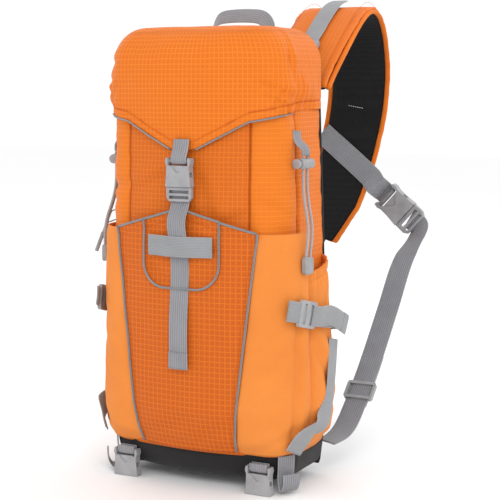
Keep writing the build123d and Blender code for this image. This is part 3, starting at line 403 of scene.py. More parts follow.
def sheet_piece(name, points, cloth, finish, thickness=0.9, flip=False, **rest):
    """A sewn panel: a grid of points with cloth's thickness behind it."""
    rows, columns = points.shape[:2]
    faces = grid_faces(rows, columns)
    if flip:
        faces = [f[::-1] for f in faces]
    piece = new_piece(name, points.reshape(-1, 3), faces, finish, cloth=cloth.reshape(-1, 3), **rest)
    if thickness:
        shell = piece.modifiers.new("thickness", "SOLIDIFY")
        shell.thickness = thickness * MM
        shell.offset = -1
    return piece


def ring_piece(name, rings, cloth, finish, caps=True, **rest):
    """A closed band of rings, such as a tape or a tube."""
    rows, columns = rings.shape[:2]
    faces = grid_faces(rows, columns, wrap=True)
    if caps:
        faces.append(tuple(range(columns))[::-1])
        faces.append(tuple((rows - 1) * columns + c for c in range(columns)))
    return new_piece(name, rings.reshape(-1, 3), faces, finish, cloth=cloth.reshape(-1, 3), **rest)


def unit(v):
    v = np.asarray(v, float)
    return v / np.maximum(np.linalg.norm(v, axis=-1, keepdims=True), 1e-9)


def curve_through(points, count=None, shares=None):
    """Points on the natural cubic curve through some points, at shares of its chord length."""
    points = np.asarray(points, float)
    if shares is None:
        shares = np.linspace(0, 1, count)
    runs = np.linalg.norm(np.diff(points, axis=0), axis=1)
    t = np.concatenate([[0], np.cumsum(runs)])
    n = len(points)
    a = np.eye(n)
    b = np.zeros_like(points)
    for i in range(1, n - 1):
        h0, h1 = t[i] - t[i - 1], t[i + 1] - t[i]
        a[i, i - 1 : i + 2] = h0, 2 * (h0 + h1), h1
        b[i] = 6 * ((points[i + 1] - points[i]) / h1 - (points[i] - points[i - 1]) / h0)
    second = np.linalg.solve(a, b)
    at = np.asarray(shares) * t[-1]
    i = np.clip(np.searchsorted(t, at, side="right") - 1, 0, n - 2)
    h = (t[i + 1] - t[i])[:, None]
    p = ((t[i + 1] - at))[:, None]
    q = ((at - t[i]))[:, None]
    lift = second[i] * p**3 + second[i + 1] * q**3
    level = (points[i] / h - second[i] * h / 6) * p + (points[i + 1] / h - second[i + 1] * h / 6) * q
    return lift / (6 * h) + level


def spread(values, points, shares):
    """Values given at listed points, in proportion between them."""
    runs = np.linalg.norm(np.diff(np.asarray(points, float), axis=0), axis=1)
    t = np.concatenate([[0], np.cumsum(runs)])
    t = t / t[-1]
    values = np.asarray(values, float)
    if values.ndim == 1:
        return np.interp(shares, t, values)
    return np.stack([np.interp(shares, t, values[:, k]) for k in range(values.shape[1])], 1)


TAPE_COLUMNS = 11


def tape(name, points, across, width, thickness=1.5, count=None, smooth=True, curl=0.0, finish="webbing", **rest):
    """Webbing along a route: a flat closed section with rounded selvedges."""
    points = np.asarray(points, float)
    length = np.linalg.norm(np.diff(points, axis=0), axis=1).sum()
    count = count or max(6, int(length / 2.5))
    shares = np.linspace(0, 1, count)
    if smooth:
        path = curve_through(points, shares=shares)
    else:
        path = spread(points, points, shares)
    along = unit(np.gradient(path, axis=0))
    if np.ndim(across) == 1:
        side = np.tile(np.asarray(across, float), (count, 1))
    else:
        side = spread(across, points, shares)
    side = unit(side - along * (side * along).sum(1, keepdims=True))
    out = np.cross(along, side)
    widths = spread(width, points, shares) if np.ndim(width) else np.full(count, float(width))
    travel = np.concatenate([[0], np.cumsum(np.linalg.norm(np.diff(path, axis=0), axis=1))])
    across_share = np.sin(np.linspace(-math.pi / 2, math.pi / 2, TAPE_COLUMNS))
    rise = np.sqrt(np.maximum(0, 1 - np.abs(across_share) ** 6)) * thickness / 2
    rings, cloth = [], []
    for k in range(count):
        x = across_share * widths[k] / 2
        bow = curl * (1 - across_share**2)
        top = path[k] + np.outer(x, side[k]) + np.outer(rise + bow, out[k])
        low = path[k] + np.outer(x[1:-1], side[k]) + np.outer(bow[1:-1] - rise[1:-1], out[k])
        rings.append(np.concatenate([top, low[::-1]]))
        edge = widths[k] / 2 - np.abs(x)
        face = np.stack([x, np.full(TAPE_COLUMNS, travel[k]), edge], 1)
        cloth.append(np.concatenate([face, face[1:-1][::-1]]))
    return ring_piece(name, np.array(rings), np.array(cloth), finish, **rest)


def tube_rings(path, radius, sides=8, flat=1.0):
    """Rings of a round or slightly flattened tube round a path."""
    path = np.asarray(path, float)
    along = unit(np.gradient(path, axis=0))
    side = np.cross(along[0], (0, 0, 1) if abs(along[0][2]) < 0.9 else (1, 0, 0))
    radius = np.broadcast_to(np.asarray(radius, float), (len(path),))
    rings, cloth = [], []
    turn = np.linspace(0, 2 * math.pi, sides, endpoint=False)
    travel = np.concatenate([[0], np.cumsum(np.linalg.norm(np.diff(path, axis=0), axis=1))])
    for k, here in enumerate(path):
        side = unit(side - along[k] * np.dot(side, along[k]))
        up = np.cross(along[k], side)
        rings.append(here + radius[k] * (np.outer(np.cos(turn), side) + flat * np.outer(np.sin(turn), up)))
        around = turn * radius[k]
        cloth.append(np.stack([around, np.full(sides, travel[k]), np.full(sides, 9.0)], 1))
    return np.array(rings), np.array(cloth)


def tube(name, path, radius, finish, sides=8, flat=1.0, **rest):
    rings, cloth = tube_rings(path, radius, sides, flat)
    return ring_piece(name, rings, cloth, finish, **rest)


def join_pieces(name, parts, finish, **rest):
    """One mesh out of several (points, faces, cloth) groups."""
    points, faces, cloth, start = [], [], [], 0
    for group_points, group_faces, group_cloth in parts:
        points.append(group_points)
        cloth.append(group_cloth)
        faces += [tuple(i + start for i in f) for f in group_faces]
        start += len(group_points)
    return new_piece(name, np.concatenate(points), faces, finish, cloth=np.concatenate(cloth), **rest)


def ring_group(rings, cloth, caps=True):
    rows, columns = rings.shape[:2]
    faces = grid_faces(rows, columns, wrap=True)
    if caps:
        faces.append(tuple(range(columns))[::-1])
        faces.append(tuple((rows - 1) * columns + c for c in range(columns)))
    return rings.reshape(-1, 3), faces, cloth.reshape(-1, 3)


def stitch_groups(path, pitch=3.4, length=2.3, radius=0.32):
    """Small threads along a line, each dipping into the cloth at both of its ends."""
    path = np.asarray(path, float)
    travel = np.concatenate([[0], np.cumsum(np.linalg.norm(np.diff(path, axis=0), axis=1))])
    groups = []
    for start in np.arange(0.6, travel[-1] - length, pitch):
        at = np.linspace(start, start + length, 5)
        points = np.stack([np.interp(at, travel, path[:, k]) for k in range(3)], 1)
        swell = radius * np.array([0.35, 0.9, 1.0, 0.9, 0.35])
        groups.append(ring_group(*tube_rings(points, swell, sides=5)))
    return groups


def mirrored(points):
    points = np.array(points, float)
    points[..., 0] *= -1
    return points


def ripple(points, scale, seed):
    """Smooth noise at each of many points, between -1 and 1."""
    flat = points.reshape(-1, 3) / scale
    shift = Vector((seed * 13.7, seed * 7.3, seed * 3.1))
    found = [noise.noise(Vector(p) + shift) for p in flat]
    return np.array(found).reshape(points.shape[:-1])


def crease(u, v, start, end, width, depth, ridge=0.6):
    """A fold along a line on the cloth: a valley with a soft ridge beside it, fading at its ends."""
    start, end = np.asarray(start, float), np.asarray(end, float)
    run = end - start
    length = np.linalg.norm(run)
    run = run / length
    along = (u - start[0]) * run[0] + (v - start[1]) * run[1]
    aside = -(u - start[0]) * run[1] + (v - start[1]) * run[0]
    fade = np.clip(np.minimum(along, length - along) / (0.3 * length) + 0.5, 0, 1)
    fade = fade * fade * (3 - 2 * fade)
    valley_shade = np.exp(-((aside / width) ** 2))
    swell = np.exp(-(((aside - 1.9 * width) / (1.3 * width)) ** 2))
    return depth * fade * (ridge * swell - valley_shade)


# ---------------------------------------------------------------- the pack's outline
LEVEL_Z = np.array([-458.0, -432.0, -388.0, -226.0, -44.0])
LEVEL_HALF = np.array([96.0, 100.0, 104.0, 98.0, 91.0])
LEVEL_DEPTH = np.array([92.0, 104.0, 114.0, 113.0, 108.0])
SEAM_X, CROWN, SIDE_Y, BULGE, REAR_Y = 66.0, 8.0, -61.0, 11.0, -6.0
FRONT_REACH, CORNER_REACH, SIDE_REACH = 66.6, 58.0, 55.0


def half_at(z):
    return np.interp(z, LEVEL_Z, LEVEL_HALF)


def depth_at(z):
    return np.interp(z, LEVEL_Z, LEVEL_DEPTH)


def arc_point(a, m, b, share):
    """The point at a share of the circular arc through three points of the plan."""
    (ax, ay), (mx, my), (bx, by) = a, m, b
    d = 2 * (ax * (my - by) + mx * (by - ay) + bx * (ay - my))
    sa, sm, sb = ax**2 + ay**2, mx**2 + my**2, bx**2 + by**2
    cx = (sa * (my - by) + sm * (by - ay) + sb * (ay - my)) / d
    cy = (sa * (bx - mx) + sm * (ax - bx) + sb * (mx - ax)) / d
    first = np.arctan2(ay - cy, ax - cx)
    sweep = np.arctan2(by - cy, bx - cx) - first
    sweep = (sweep + np.pi) % (2 * np.pi) - np.pi
    angle = first + share * sweep
    radius = np.hypot(ax - cx, ay - cy)
    return cx + radius * np.cos(angle), cy + radius * np.sin(angle)


def hull(u, z, offset=0.0, puff=0.0, rear=REAR_Y):
    """A point on the outline at a height, moved outward: u is 0 at the middle of the front, 1 at the
    front seam, 2 at the side seam, 3 at the rear corner and 4 at the middle of the back."""
    u, z, offset = np.broadcast_arrays(np.asarray(u, float), z, offset)
    t = np.abs(u)
    half, depth = half_at(z), depth_at(z)
    lean = math.asin(SEAM_X / ((SEAM_X**2 + CROWN**2) / (2 * CROWN)))
    seam_y = -(depth - CROWN)
    run_x, run_y = half - SEAM_X, SIDE_Y - seam_y
    length = np.hypot(run_x, run_y)
    away_x, away_y = run_y / length, -run_x / length
    lift = BULGE + puff + offset
    seam = (SEAM_X + offset * math.sin(lean), seam_y - offset * math.cos(lean))
    corner = (SEAM_X + run_x / 2 + away_x * lift, seam_y + run_y / 2 + away_y * lift)
    side = (half + offset, np.full_like(half, SIDE_Y))
    front_x, front_y = arc_point((-seam[0], seam[1]), (0 * half, -depth - offset), seam, (1 + t) / 2)
    corner_x, corner_y = arc_point(seam, corner, side, t - 1)
    flat_y = SIDE_Y + np.clip(t - 2, 0, 1) * (rear - SIDE_Y)
    back_x = (half + offset) * (1 - np.clip(t - 3, 0, 1))
    x = np.where(t <= 1, front_x, np.where(t <= 2, corner_x, np.where(t <= 3, half + offset, back_x)))
    y = np.where(t <= 1, front_y, np.where(t <= 2, corner_y, flat_y))
    return np.stack([np.where(u < 0, -x, x), y, z], -1)


def reach(u):
    """How far round the outline u is from the middle of the front, in millimetres."""
    steps = np.cumsum([0, FRONT_REACH, CORNER_REACH, SIDE_REACH, 95.0])
    return np.sign(u) * np.interp(np.abs(u), range(5), steps)


def hull_at_x(x, z, offset):
    """The u at which the outline is x wide, on the front and the corners."""
    ladder = np.linspace(0, 2, 241)
    found = np.empty_like(x)
    for r in range(x.shape[0]):
        height, lift = z[r].mean(), np.mean(offset[r])
        xs = hull(ladder, height, lift)[:, 0]
        xs = np.maximum.accumulate(xs)
        found[r] = np.sign(x[r]) * np.interp(np.abs(x[r]), xs, ladder)
    return found


def smooth_step(x, low, high):
    t = np.clip((x - low) / (high - low), 0, 1)
    return t * t * (3 - 2 * t)


# ---------------------------------------------------------------- sack
BOOT_TOP_Z, MOUTH_Z, CREST_Z = -432.0, -44.0, -18.0
WALL_STEP = 2.6


def seam_gap(u, lines):
    """Distance from the nearest of some seams, in millimetres round the outline."""
    return np.min([np.abs(reach(u) - reach(np.float64(s))) for s in lines], axis=0)


def panel(name, u_low, u_high, z_low, z_high, offset_of, finish, seams=(), puff=0.0, step=WALL_STEP, **rest):
    """A panel of the wall between two places round the outline, pushed out by offset_of(u, z)."""
    columns = int(abs(reach(np.float64(u_high)) - reach(np.float64(u_low))) / step) + 1
    rows = int((z_high - z_low) / step) + 1
    z, u = np.meshgrid(np.linspace(z_low, z_high, rows), np.linspace(u_low, u_high, columns), indexing="ij")
    points = hull(u, z, offset_of(u, z), puff)
    cloth = np.stack([reach(u), z, seam_gap(u, seams) if seams else np.full_like(u, 9.0)], -1)
    return sheet_piece(name, points, cloth, finish, flip=u_high < u_low, **rest)


def body_offset(u, z):
    """Slack in the sack's cloth: dips at the seams, soft hollows and the pull of the closed lid."""
    gap = seam_gap(u, (-2, -1, 1, 2))
    v = reach(u)
    push = -1.7 * np.exp(-((gap / 2.6) ** 2)) + 0.9 * (1 - np.exp(-((gap / 9) ** 2)))
    where = np.stack([v, z, np.zeros_like(v)], -1)
    push += 1.3 * ripple(where, (34.0, 22.0, 1.0), 1) + 0.9 * ripple(where, (60.0, 9.0, 1.0), 2)
    push += crease(v, z, (-112, -178), (-66, -170), 4.5, 1.6) + crease(v, z, (-118, -196), (-84, -186), 4.0, 1.2)
    push += crease(v, z, (-60, -178), (-18, -160), 6.0, 1.3) + crease(v, z, (14, -158), (30, -205), 7.0, 1.6)
    push += crease(v, z, (40, -204), (64, -196), 5.0, 0.9) + crease(v, z, (74, -150), (118, -166), 6.0, 0.9)
    push += crease(v, z, (78, -186), (122, -205), 5.0, 1.1) + crease(v, z, (124, -160), (124, -236), 2.2, 1.6)
    left = np.clip((-v - 118) / 8, 0, 1) * smooth_step(z, -236, -160) * smooth_step(-z, 100, 150)
    push += left * (1.6 * np.sin(z / 4.6) - 4.0)
    return push * smooth_step(z, -458, -430)


def make_sack():
    for name, low, high, finish, node in (
        # the front panel wears the darkened ripstop, painted shade
        ("front_cloth_painted_shade", -1, 1, "front_cloth_painted_shade", "front_panel"),
        ("right_gusset", 1, 2, "gusset_cloth", None),
        ("left_gusset", -2, -1, "gusset_cloth", None),
        ("right_wall", 2, 3, "body_cloth", None),
        ("left_wall", -3, -2, "body_cloth", None),
    ):
        piece = panel(name, low, high, BOOT_TOP_Z, MOUTH_Z, body_offset, finish, seams=(-3, -2, -1, 1, 2, 3))
        if node:
            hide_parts(node)
        elif "gusset" in name:
            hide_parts("corner_panels")
        else:
            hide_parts("side_panels")
    # the doubled hem inside the mouth, with the small puckers of its drawcord
    u = np.linspace(-3, 3, 220)
    rows = []
    for depth, inset in ((0, -2.4), (-0.8, -3.2), (-9, -3.4), (-9.6, -4.2), (-9, -5.0), (-0.8, -5.2), (0, -4.0)):
        wave = 0.5 * np.sin(reach(u) / 3.1) + 0.3 * np.sin(reach(u) / 1.9 + 1)
        rows.append(hull(u, MOUTH_Z + depth, inset - 0.5 + wave))
    rings = np.array(rows).transpose(1, 0, 2)
    cloth = np.stack(np.broadcast_arrays(np.arange(7) * 4.0, reach(u)[:, None], 9.0), -1)
    ring_piece("mouth_hem", rings, cloth, "grey_lining", nodes=("collar_hem",))


def make_boot():
    """The black foot of the sack, which sags a little between its corners."""
    u = np.linspace(-4, 4, 260)
    sag = 2.2 * np.cos(np.clip(reach(u) / 66.6, -1.5, 1.5) * math.pi / 3)
    rows, travel = [], []
    profile = [(-427, -2.5), (-430, 0.4), (-436, 0.9), (-444, 1.2)]
    profile += [(-450, 0.8), (-454, -0.6), (-456.6, -3.2), (-457.8, -7)]
    for k, (z, lift) in enumerate(profile):
        drop = sag * smooth_step(-z, 430, 456)
        points = hull(u, np.full_like(u, z), lift)
        points[:, 2] -= drop * 0.35
        points[:, :2] += unit(points[:, :2] - (0, -50)) * ripple(points, (30, 30, 9), 5)[:, None] * 0.7
        rows.append(points)
        travel.append(k * 5.0)
    middle = np.array([0.0, -50.0, -457.6])
    for share in (0.8, 0.5, 0.2, 0.02):
        ring = middle + (rows[7] - middle) * share
        ring[:, 2] = -457.9
        rows.append(ring)
        travel.append(40 + (1 - share) * 80)
    points = np.array(rows)
    cloth = np.stack(np.broadcast_arrays(reach(u)[None, :], np.array(travel)[:, None], 9.0), -1)
    sheet_piece("foot_cloth", points, cloth, "black_cloth", thickness=1.5, flip=True, nodes=("base_boot",))


make_sack()
make_boot()


# ---------------------------------------------------------------- lid
LID_LIFT = 3.5
DOME_Z = -56.0
DOME_RISE = 37.0
DOME_RADIUS = 33.0
DOME_MIDDLE = np.array([0.0, -46.0])


def lid_hem_z(u):
    """The height of the lid's lower edge: a V in front, short sides and a lower rear."""
    x = np.abs(hull(u, -110.0, LID_LIFT)[..., 0])
    front = np.interp(x, [0, 13, 40, 66], [-136.5, -136.0, -122.5, -109.0])
    side = np.interp(np.abs(u), [1, 1.5, 2, 3], [-109, -103.5, -99.5, -98])
    hem = np.where(np.abs(u) <= 1, front, side)
    return hem + np.where(u < 0, 7.0 * smooth_step(np.abs(u), 1.5, 2.2), 0)


def lid_pucker(u, above):
    """The gathers of the elastic at both sides of the lid, strongest at the hem."""
    v = reach(u)
    side = smooth_step(np.abs(v), 84, 104) * (1 - smooth_step(np.abs(v), 150, 172))
    fade = np.exp(-np.maximum(above, 0) / 21.0)
    folds = np.sin(v / 1.75 + above * 0.05) + 0.6 * np.sin(v / 1.1 + 2 + above * 0.11)
    return side * fade * (1.35 * folds - 2.6) + side * 4.0 * np.exp(-(((above - 22) / 13.0) ** 2))


def lid_creases(v, z):
    push = crease(v, z, (72, -72), (112, -88), 3.6, 2.2) + crease(v, z, (78, -84), (106, -96), 3.0, 1.6)
    push += crease(v, z, (106, -44), (118, -94), 3.4, 2.0) + crease(v, z, (132, -62), (126, -96), 3.0, 1.7)
    push += crease(v, z, (66, -60), (104, -80), 5.0, 1.0) + crease(v, z, (88, -98), (100, -78), 2.4, 1.4)
    push += crease(v, z, (-122, -58), (-84, -52), 4.0, 1.6) + crease(v, z, (-126, -74), (-92, -70), 3.4, 1.6)
    push += crease(v, z, (-96, -98), (-78, -72), 4.0, 1.4) + crease(v, z, (-112, -92), (-92, -76), 3.0, 1.6)
    push += crease(v, z, (-76, -100), (-72, -70), 5.0, 1.0)
    return push


CROWN_STEPS = 16  # rows of the bend from the lid's wall to its top
CROWN_SHARES = (0.92, 0.82, 0.7, 0.56, 0.42, 0.28, 0.14, 0.02)


def crown_bend(away, distance, turn, push=0.0):
    """A row of the round edge between the lid's wall and its top."""
    point = DOME_MIDDLE + away * (distance - DOME_RADIUS * (1 - math.cos(turn)) + push)
    return np.column_stack([point, np.full(len(point), DOME_Z + DOME_RISE * math.sin(turn))])


def crown_top(away, flat, share):
    """A row of the lid's slightly domed top, at a share of the way out from its middle."""
    point = DOME_MIDDLE + away * flat * share
    swell = 1.6 * (1 - share**2) - 1.0 * smooth_step(point[:, 1], -40, -10)
    return np.column_stack([point, CREST_Z - 1.0 + swell])


def make_lid():
    columns = 241
    u = np.linspace(-3, 3, columns)
    hem = lid_hem_z(u)
    rows, cloth = [], []
    skirt = 34
    for k in range(skirt):
        z = hem + (DOME_Z - hem) * (k / (skirt - 1))
        above = z - hem
        lift = LID_LIFT + lid_pucker(u, above) + lid_creases(reach(u), z)
        where = np.stack([reach(u), z, z * 0], -1)
        lift += 1.6 * np.sin(np.clip(above / 60, 0, 1) * math.pi / 2) + 0.5 * ripple(where, (30, 24, 1), 9)
        lift -= 0.8 * np.exp(-(((above - 8.5) / 1.2) ** 2))
        rows.append(hull(u, z, lift, puff=1.0))
        # the stitch line 8.5 mm above the hem, where the cloth creases, counts as a seam, so the ripstop paints shade
        # along it
        cloth.append(np.stack([reach(u), z, np.where(np.abs(above - 8.5) < 1.2, 0.6, 9.0)], -1))
    edge = rows[-1]
    away = edge[:, :2] - DOME_MIDDLE
    distance = np.linalg.norm(away, axis=1, keepdims=True)
    away = away / distance
    arc = DOME_RADIUS * math.pi / 2
    for k in range(1, CROWN_STEPS + 1):
        turn = k / CROWN_STEPS * math.pi / 2
        z = DOME_Z + DOME_RISE * math.sin(turn)
        v = DOME_Z + arc * k / CROWN_STEPS
        push = lid_creases(reach(u), np.full_like(u, z)) * math.cos(turn)
        rows.append(crown_bend(away, distance, turn, push[:, None]))
        cloth.append(np.column_stack([reach(u), np.full(columns, v), np.full(columns, 9.0)]))
    flat = distance - DOME_RADIUS
    for share in CROWN_SHARES:
        rows.append(crown_top(away, flat, share))
        v = DOME_Z + arc + (1 - share) * flat[:, 0]
        cloth.append(np.column_stack([rows[-1][:, 0] * 1.1, v, np.full(columns, 9.0)]))
    points, cloth = np.array(rows), np.array(cloth)
    # the cloth of the top runs straight across it, whichever way its mesh does
    top = skirt + 10
    for k in range(top, len(rows)):
        cloth[k, :, 0] = points[k, :, 0]
        cloth[k, :, 1] = -points[k, :, 1]
    points[..., 1] = np.minimum(points[..., 1], REAR_Y - 0.6)
    wave = 0.7 * ripple(points, 30.0, 4) + 0.5 * ripple(points, 14.0, 6)
    points[skirt:, :, 2] += wave[skirt:]
    sheet_piece("lid_cloth", points, cloth, "lid_cloth", thickness=1.6, body="lid", nodes=("lid",))
    # grey piping along the V and a narrow fold round the rest of the hem
    for side in (1, -1):
        run = side * np.linspace(0.21, 1.86, 90)
        path = hull(run, lid_hem_z(run) - 0.3, LID_LIFT + lid_pucker(run, 0 * run) + 0.5, puff=1.0)
        radius = 0.85 * np.minimum(1, np.linspace(3.2, 0.0, 90) + 0.25)
        tube(f"lid_piping_{'right' if side > 0 else 'left'}", path, radius, "piping_cloth", body="lid")
    groups = []
    for side in (1, -1):
        run = side * np.linspace(0.05, 2.9, 260)
        z = lid_hem_z(run) + 8.5
        lift = LID_LIFT + lid_pucker(run, 8.5 + 0 * run) + lid_creases(reach(run), z) + 0.4
        groups += stitch_groups(hull(run, z, lift, puff=1.0))
    join_pieces("lid_stitches", groups, "orange_thread", body="lid")


def make_lid_rear():
    """The part of the lid's crown behind its side walls, closed against the hinge strip."""
    u = np.concatenate([np.linspace(3, 4, 40), np.linspace(-4, -3, 40)[1:]])
    edge = hull(u, np.full_like(u, DOME_Z), LID_LIFT, puff=1.0)
    away = edge[:, :2] - DOME_MIDDLE
    distance = np.linalg.norm(away, axis=1, keepdims=True)
    away = away / distance
    rows = [edge]
    for turn in np.linspace(0, math.pi / 2, CROWN_STEPS + 1)[1:]:
        rows.append(crown_bend(away, distance, turn))
    for share in CROWN_SHARES:
        rows.append(crown_top(away, distance - DOME_RADIUS, share))
    points = np.array(rows)
    points[..., 1] = np.minimum(points[..., 1], REAR_Y - 0.6)
    wave = 0.7 * ripple(points, 30.0, 4) + 0.5 * ripple(points, 14.0, 6)
    points[1:, :, 2] += wave[1:]
    cloth = np.stack([points[..., 0], -points[..., 1], np.full(points.shape[:2], 9.0)], -1)
    sheet_piece("lid_rear_cloth", points, cloth, "lid_cloth", thickness=1.6, body="lid", nodes=("lid",))


make_lid()
make_lid_rear()


def make_lid_hinge():
    """The strip of cloth from the back panel's top edge over to the lid."""
    x = np.linspace(-84, 84, 61)
    profile = ((-3.0, -46), (-3.2, -36), (-4.2, -30), (-6.6, -25), (-10, -21.4), (-15, -19.6), (-22, -19.0))
    rows, cloth = [], []
    for k, (y, z) in enumerate(profile):
        narrow = 1 - 0.02 * k
        end = np.clip((np.abs(x) - 62) / 22, 0, 1) ** 2
        rows.append(np.column_stack([x * narrow, np.full_like(x, y), z - end * 8.0 * (k / 6)]))
        cloth.append(np.column_stack([x, np.full_like(x, k * 6.0), np.full_like(x, 9.0)]))
    points, cloth = np.array(rows), np.array(cloth)
    piece = sheet_piece("lid_hinge_cloth", points, cloth, "lid_cloth", thickness=0.8, flip=True, body=None)
    smooth = piece.modifiers.new("smooth", "SUBSURF")
    smooth.levels = smooth.render_levels = 1
    placed((0, -5, -30))
    placed((0, -16, -20))
    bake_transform(piece)


make_lid_hinge()


# ---------------------------------------------------------------- front pocket and flanks
POCKET_FOOT_Z, POCKET_CORNER_Z, POCKET_PEAK_Z, WAIST_Z = -429.0, -214.0, -192.0, -226.0
POCKET_FOOT_HALF, POCKET_TOP_HALF, POCKET_LIFT = 49.0, 77.0, 8.0
PEAK_SLOPE = (POCKET_PEAK_Z - POCKET_CORNER_Z) / POCKET_TOP_HALF
STRAP_FOOT_Z = -347.0


def pocket_half(z):
    return np.interp(z, [-458, POCKET_CORNER_Z], [POCKET_FOOT_HALF, POCKET_TOP_HALF])


def pocket_top_z(x):
    return POCKET_PEAK_Z - PEAK_SLOPE * np.abs(x)


U_HALF, U_FOOT_Z, U_CORNER = 41.0, -269.0, 24.0


def inside_u(x, z, inset=0.0):
    """How far inside the U-shaped seam a point of the pocket is: positive inside it."""
    half, corner = U_HALF - inset, U_CORNER - inset
    dx = np.abs(x) - (half - corner - (z - U_FOOT_Z) * -0.02)
    dz = (U_FOOT_Z + inset + corner) - z
    round_part = corner - np.hypot(np.maximum(dx, 0), np.maximum(dz, 0))
    return np.where((dx > 0) & (dz > 0), round_part, np.minimum(corner - dx, corner - dz))


def pocket_lift(x, z):
    share = np.abs(x) / pocket_half(z)
    where = np.stack([x, z, 0 * x], -1)
    lift = POCKET_LIFT - 2.6 * share**6 + 0.7 * ripple(where, (38.0, 30.0, 1.0), 11)
    lift += crease(x, z, (28, -280), (40, -330), 7.0, 0.9) + crease(x, z, (-44, -300), (-30, -350), 7.0, 0.9)
    lift += crease(x, z, (-50, -418), (-10, -408), 6.0, 1.0) + crease(x, z, (10, -420), (44, -404), 6.0, 1.0)
    lift += crease(x, z, (-36, -250), (-14, -262), 4.0, 0.8) + crease(x, z, (18, -218), (36, -232), 4.0, 0.8)
    u_depth = inside_u(x, z)
    lift -= 1.4 * smooth_step(u_depth, -0.5, 3.0) * (1 - 0.6 * smooth_step(u_depth, 5, 22))
    lift -= 3.6 * smooth_step(-z, 412, 431)
    hem = pocket_top_z(x) - z
    lift += 1.2 * np.exp(-((hem / 5.0) ** 2)) - 0.9 * np.exp(-(((hem - 8.5) / 1.3) ** 2))
    return lift


def pocket_point(x, z, extra=0.0):
    """A point on the front pocket's face."""
    x, z = np.broadcast_arrays(np.asarray(x, float), np.asarray(z, float))
    lift = pocket_lift(x, z)
    u = hull_at_x(x.reshape(-1, 1), z.reshape(-1, 1), lift.reshape(-1, 1)).reshape(x.shape)
    return hull(u, z, lift + extra)


def make_front_pocket():
    columns, rows = 75, 90
    share = np.linspace(-1, 1, columns)
    down = np.linspace(0, 1, rows)
    foot = POCKET_FOOT_Z - 1.2 * np.cos(share * math.pi / 2)
    points, cloth = [], []
    for k in down:
        # each row runs between the curve of the foot and the peaked top edge
        z = foot + (POCKET_CORNER_Z - foot) * k
        x = share * pocket_half(z)
        z = z + (pocket_top_z(x) - POCKET_CORNER_Z) * k**1.6
        x = share * pocket_half(np.minimum(z, POCKET_CORNER_Z))
        lift = pocket_lift(x, z)
        points.append(pocket_point(x, z))
        gap = np.minimum((1 - np.abs(share)) * pocket_half(z), np.abs(inside_u(x, z)))
        gap = np.minimum(gap, np.abs(pocket_top_z(x) - z - 8.5) + 0.8)
        cloth.append(np.stack([x, z, gap], -1))
    sheet_piece("pocket_face", np.array(points), np.array(cloth), "pocket_cloth", thickness=1.2, nodes=("front_pocket",))
    # piping down both edges and round the U
    for side, word in ((1, "right"), (-1, "left")):
        z = np.linspace(POCKET_CORNER_Z + 0.5, POCKET_FOOT_Z + 1, 90)
        path = pocket_point(side * (pocket_half(z) - 0.6), z, 1.0)
        tube(f"pocket_piping_{word}", path, 1.35, "piping_cloth", sides=10, flat=0.8, nodes=("pocket_piping",))
    top = pocket_top_z(U_HALF) - 1.0
    leg = np.linspace(top, U_FOOT_Z + U_CORNER, 26)
    turn = np.linspace(0, math.pi / 2, 22)
    bend_x = U_HALF - U_CORNER + U_CORNER * np.cos(turn[1:])
    half_x = np.concatenate([np.full_like(leg, U_HALF), bend_x])
    half_z = np.concatenate([leg, U_FOOT_Z + U_CORNER - U_CORNER * np.sin(turn[1:])])
    x = np.concatenate([half_x, np.linspace(half_x[-1], -half_x[-1], 12)[1:-1], -half_x[::-1]])
    z = np.concatenate([half_z, np.full(10, U_FOOT_Z), half_z[::-1]])
    tube("u_piping", pocket_point(x, z, 1.3), 1.35, "piping_cloth", sides=10, flat=0.8, nodes=("pocket_piping",))
    # the bound top edge
    x = np.linspace(-POCKET_TOP_HALF + 1.5, POCKET_TOP_HALF - 1.5, 90)
    path = pocket_point(x, pocket_top_z(x) + 0.2, 0.2)
    tube("pocket_binding", path, 1.15, "piping_cloth", sides=10, flat=1.0, nodes=("pocket_top_binding",))
    groups = stitch_groups(pocket_point(x, pocket_top_z(x) - 8.5, 0.3))
    for side in (1, -1):
        z = np.linspace(POCKET_CORNER_Z - 4, POCKET_FOOT_Z + 3, 90)
        groups += stitch_groups(pocket_point(side * (pocket_half(z) - 4.6), z, 0.3))
    join_pieces("pocket_stitches", groups, "orange_thread")


def flank_lift(c, z):
    """Offset of the flank's cloth at a share c of its width, from the piping to the side seam."""
    v = c * 60.0
    where = np.stack([v, z, 0 * v], -1)
    lift = 5.0 + 5.4 * np.sin(np.clip(c * 1.25, 0, 1) * math.pi / 2) ** 0.8 - 3.2 * smooth_step(c, 0.86, 1.0)
    lift = lift + 0.9 * ripple(where, (26.0, 40.0, 1.0), 21) + 0.4 * ripple(where, (60.0, 12.0, 1.0), 22)
    lift += crease(v, z, (42, -280), (40, -424), 3.0, 3.6, ridge=0.45)
    lift += crease(v, z, (8, -330), (38, -296), 6.0, 1.1) + crease(v, z, (14, -356), (40, -318), 6.0, 1.3)
    lift += crease(v, z, (4, -392), (30, -372), 8.0, 1.0) + crease(v, z, (16, -426), (44, -404), 5.0, 1.6)
    lift -= 6.0 * smooth_step(-z, 414, 432) ** 1.5
    lift -= 1.6 * smooth_step(z, -224, -214)
    return lift


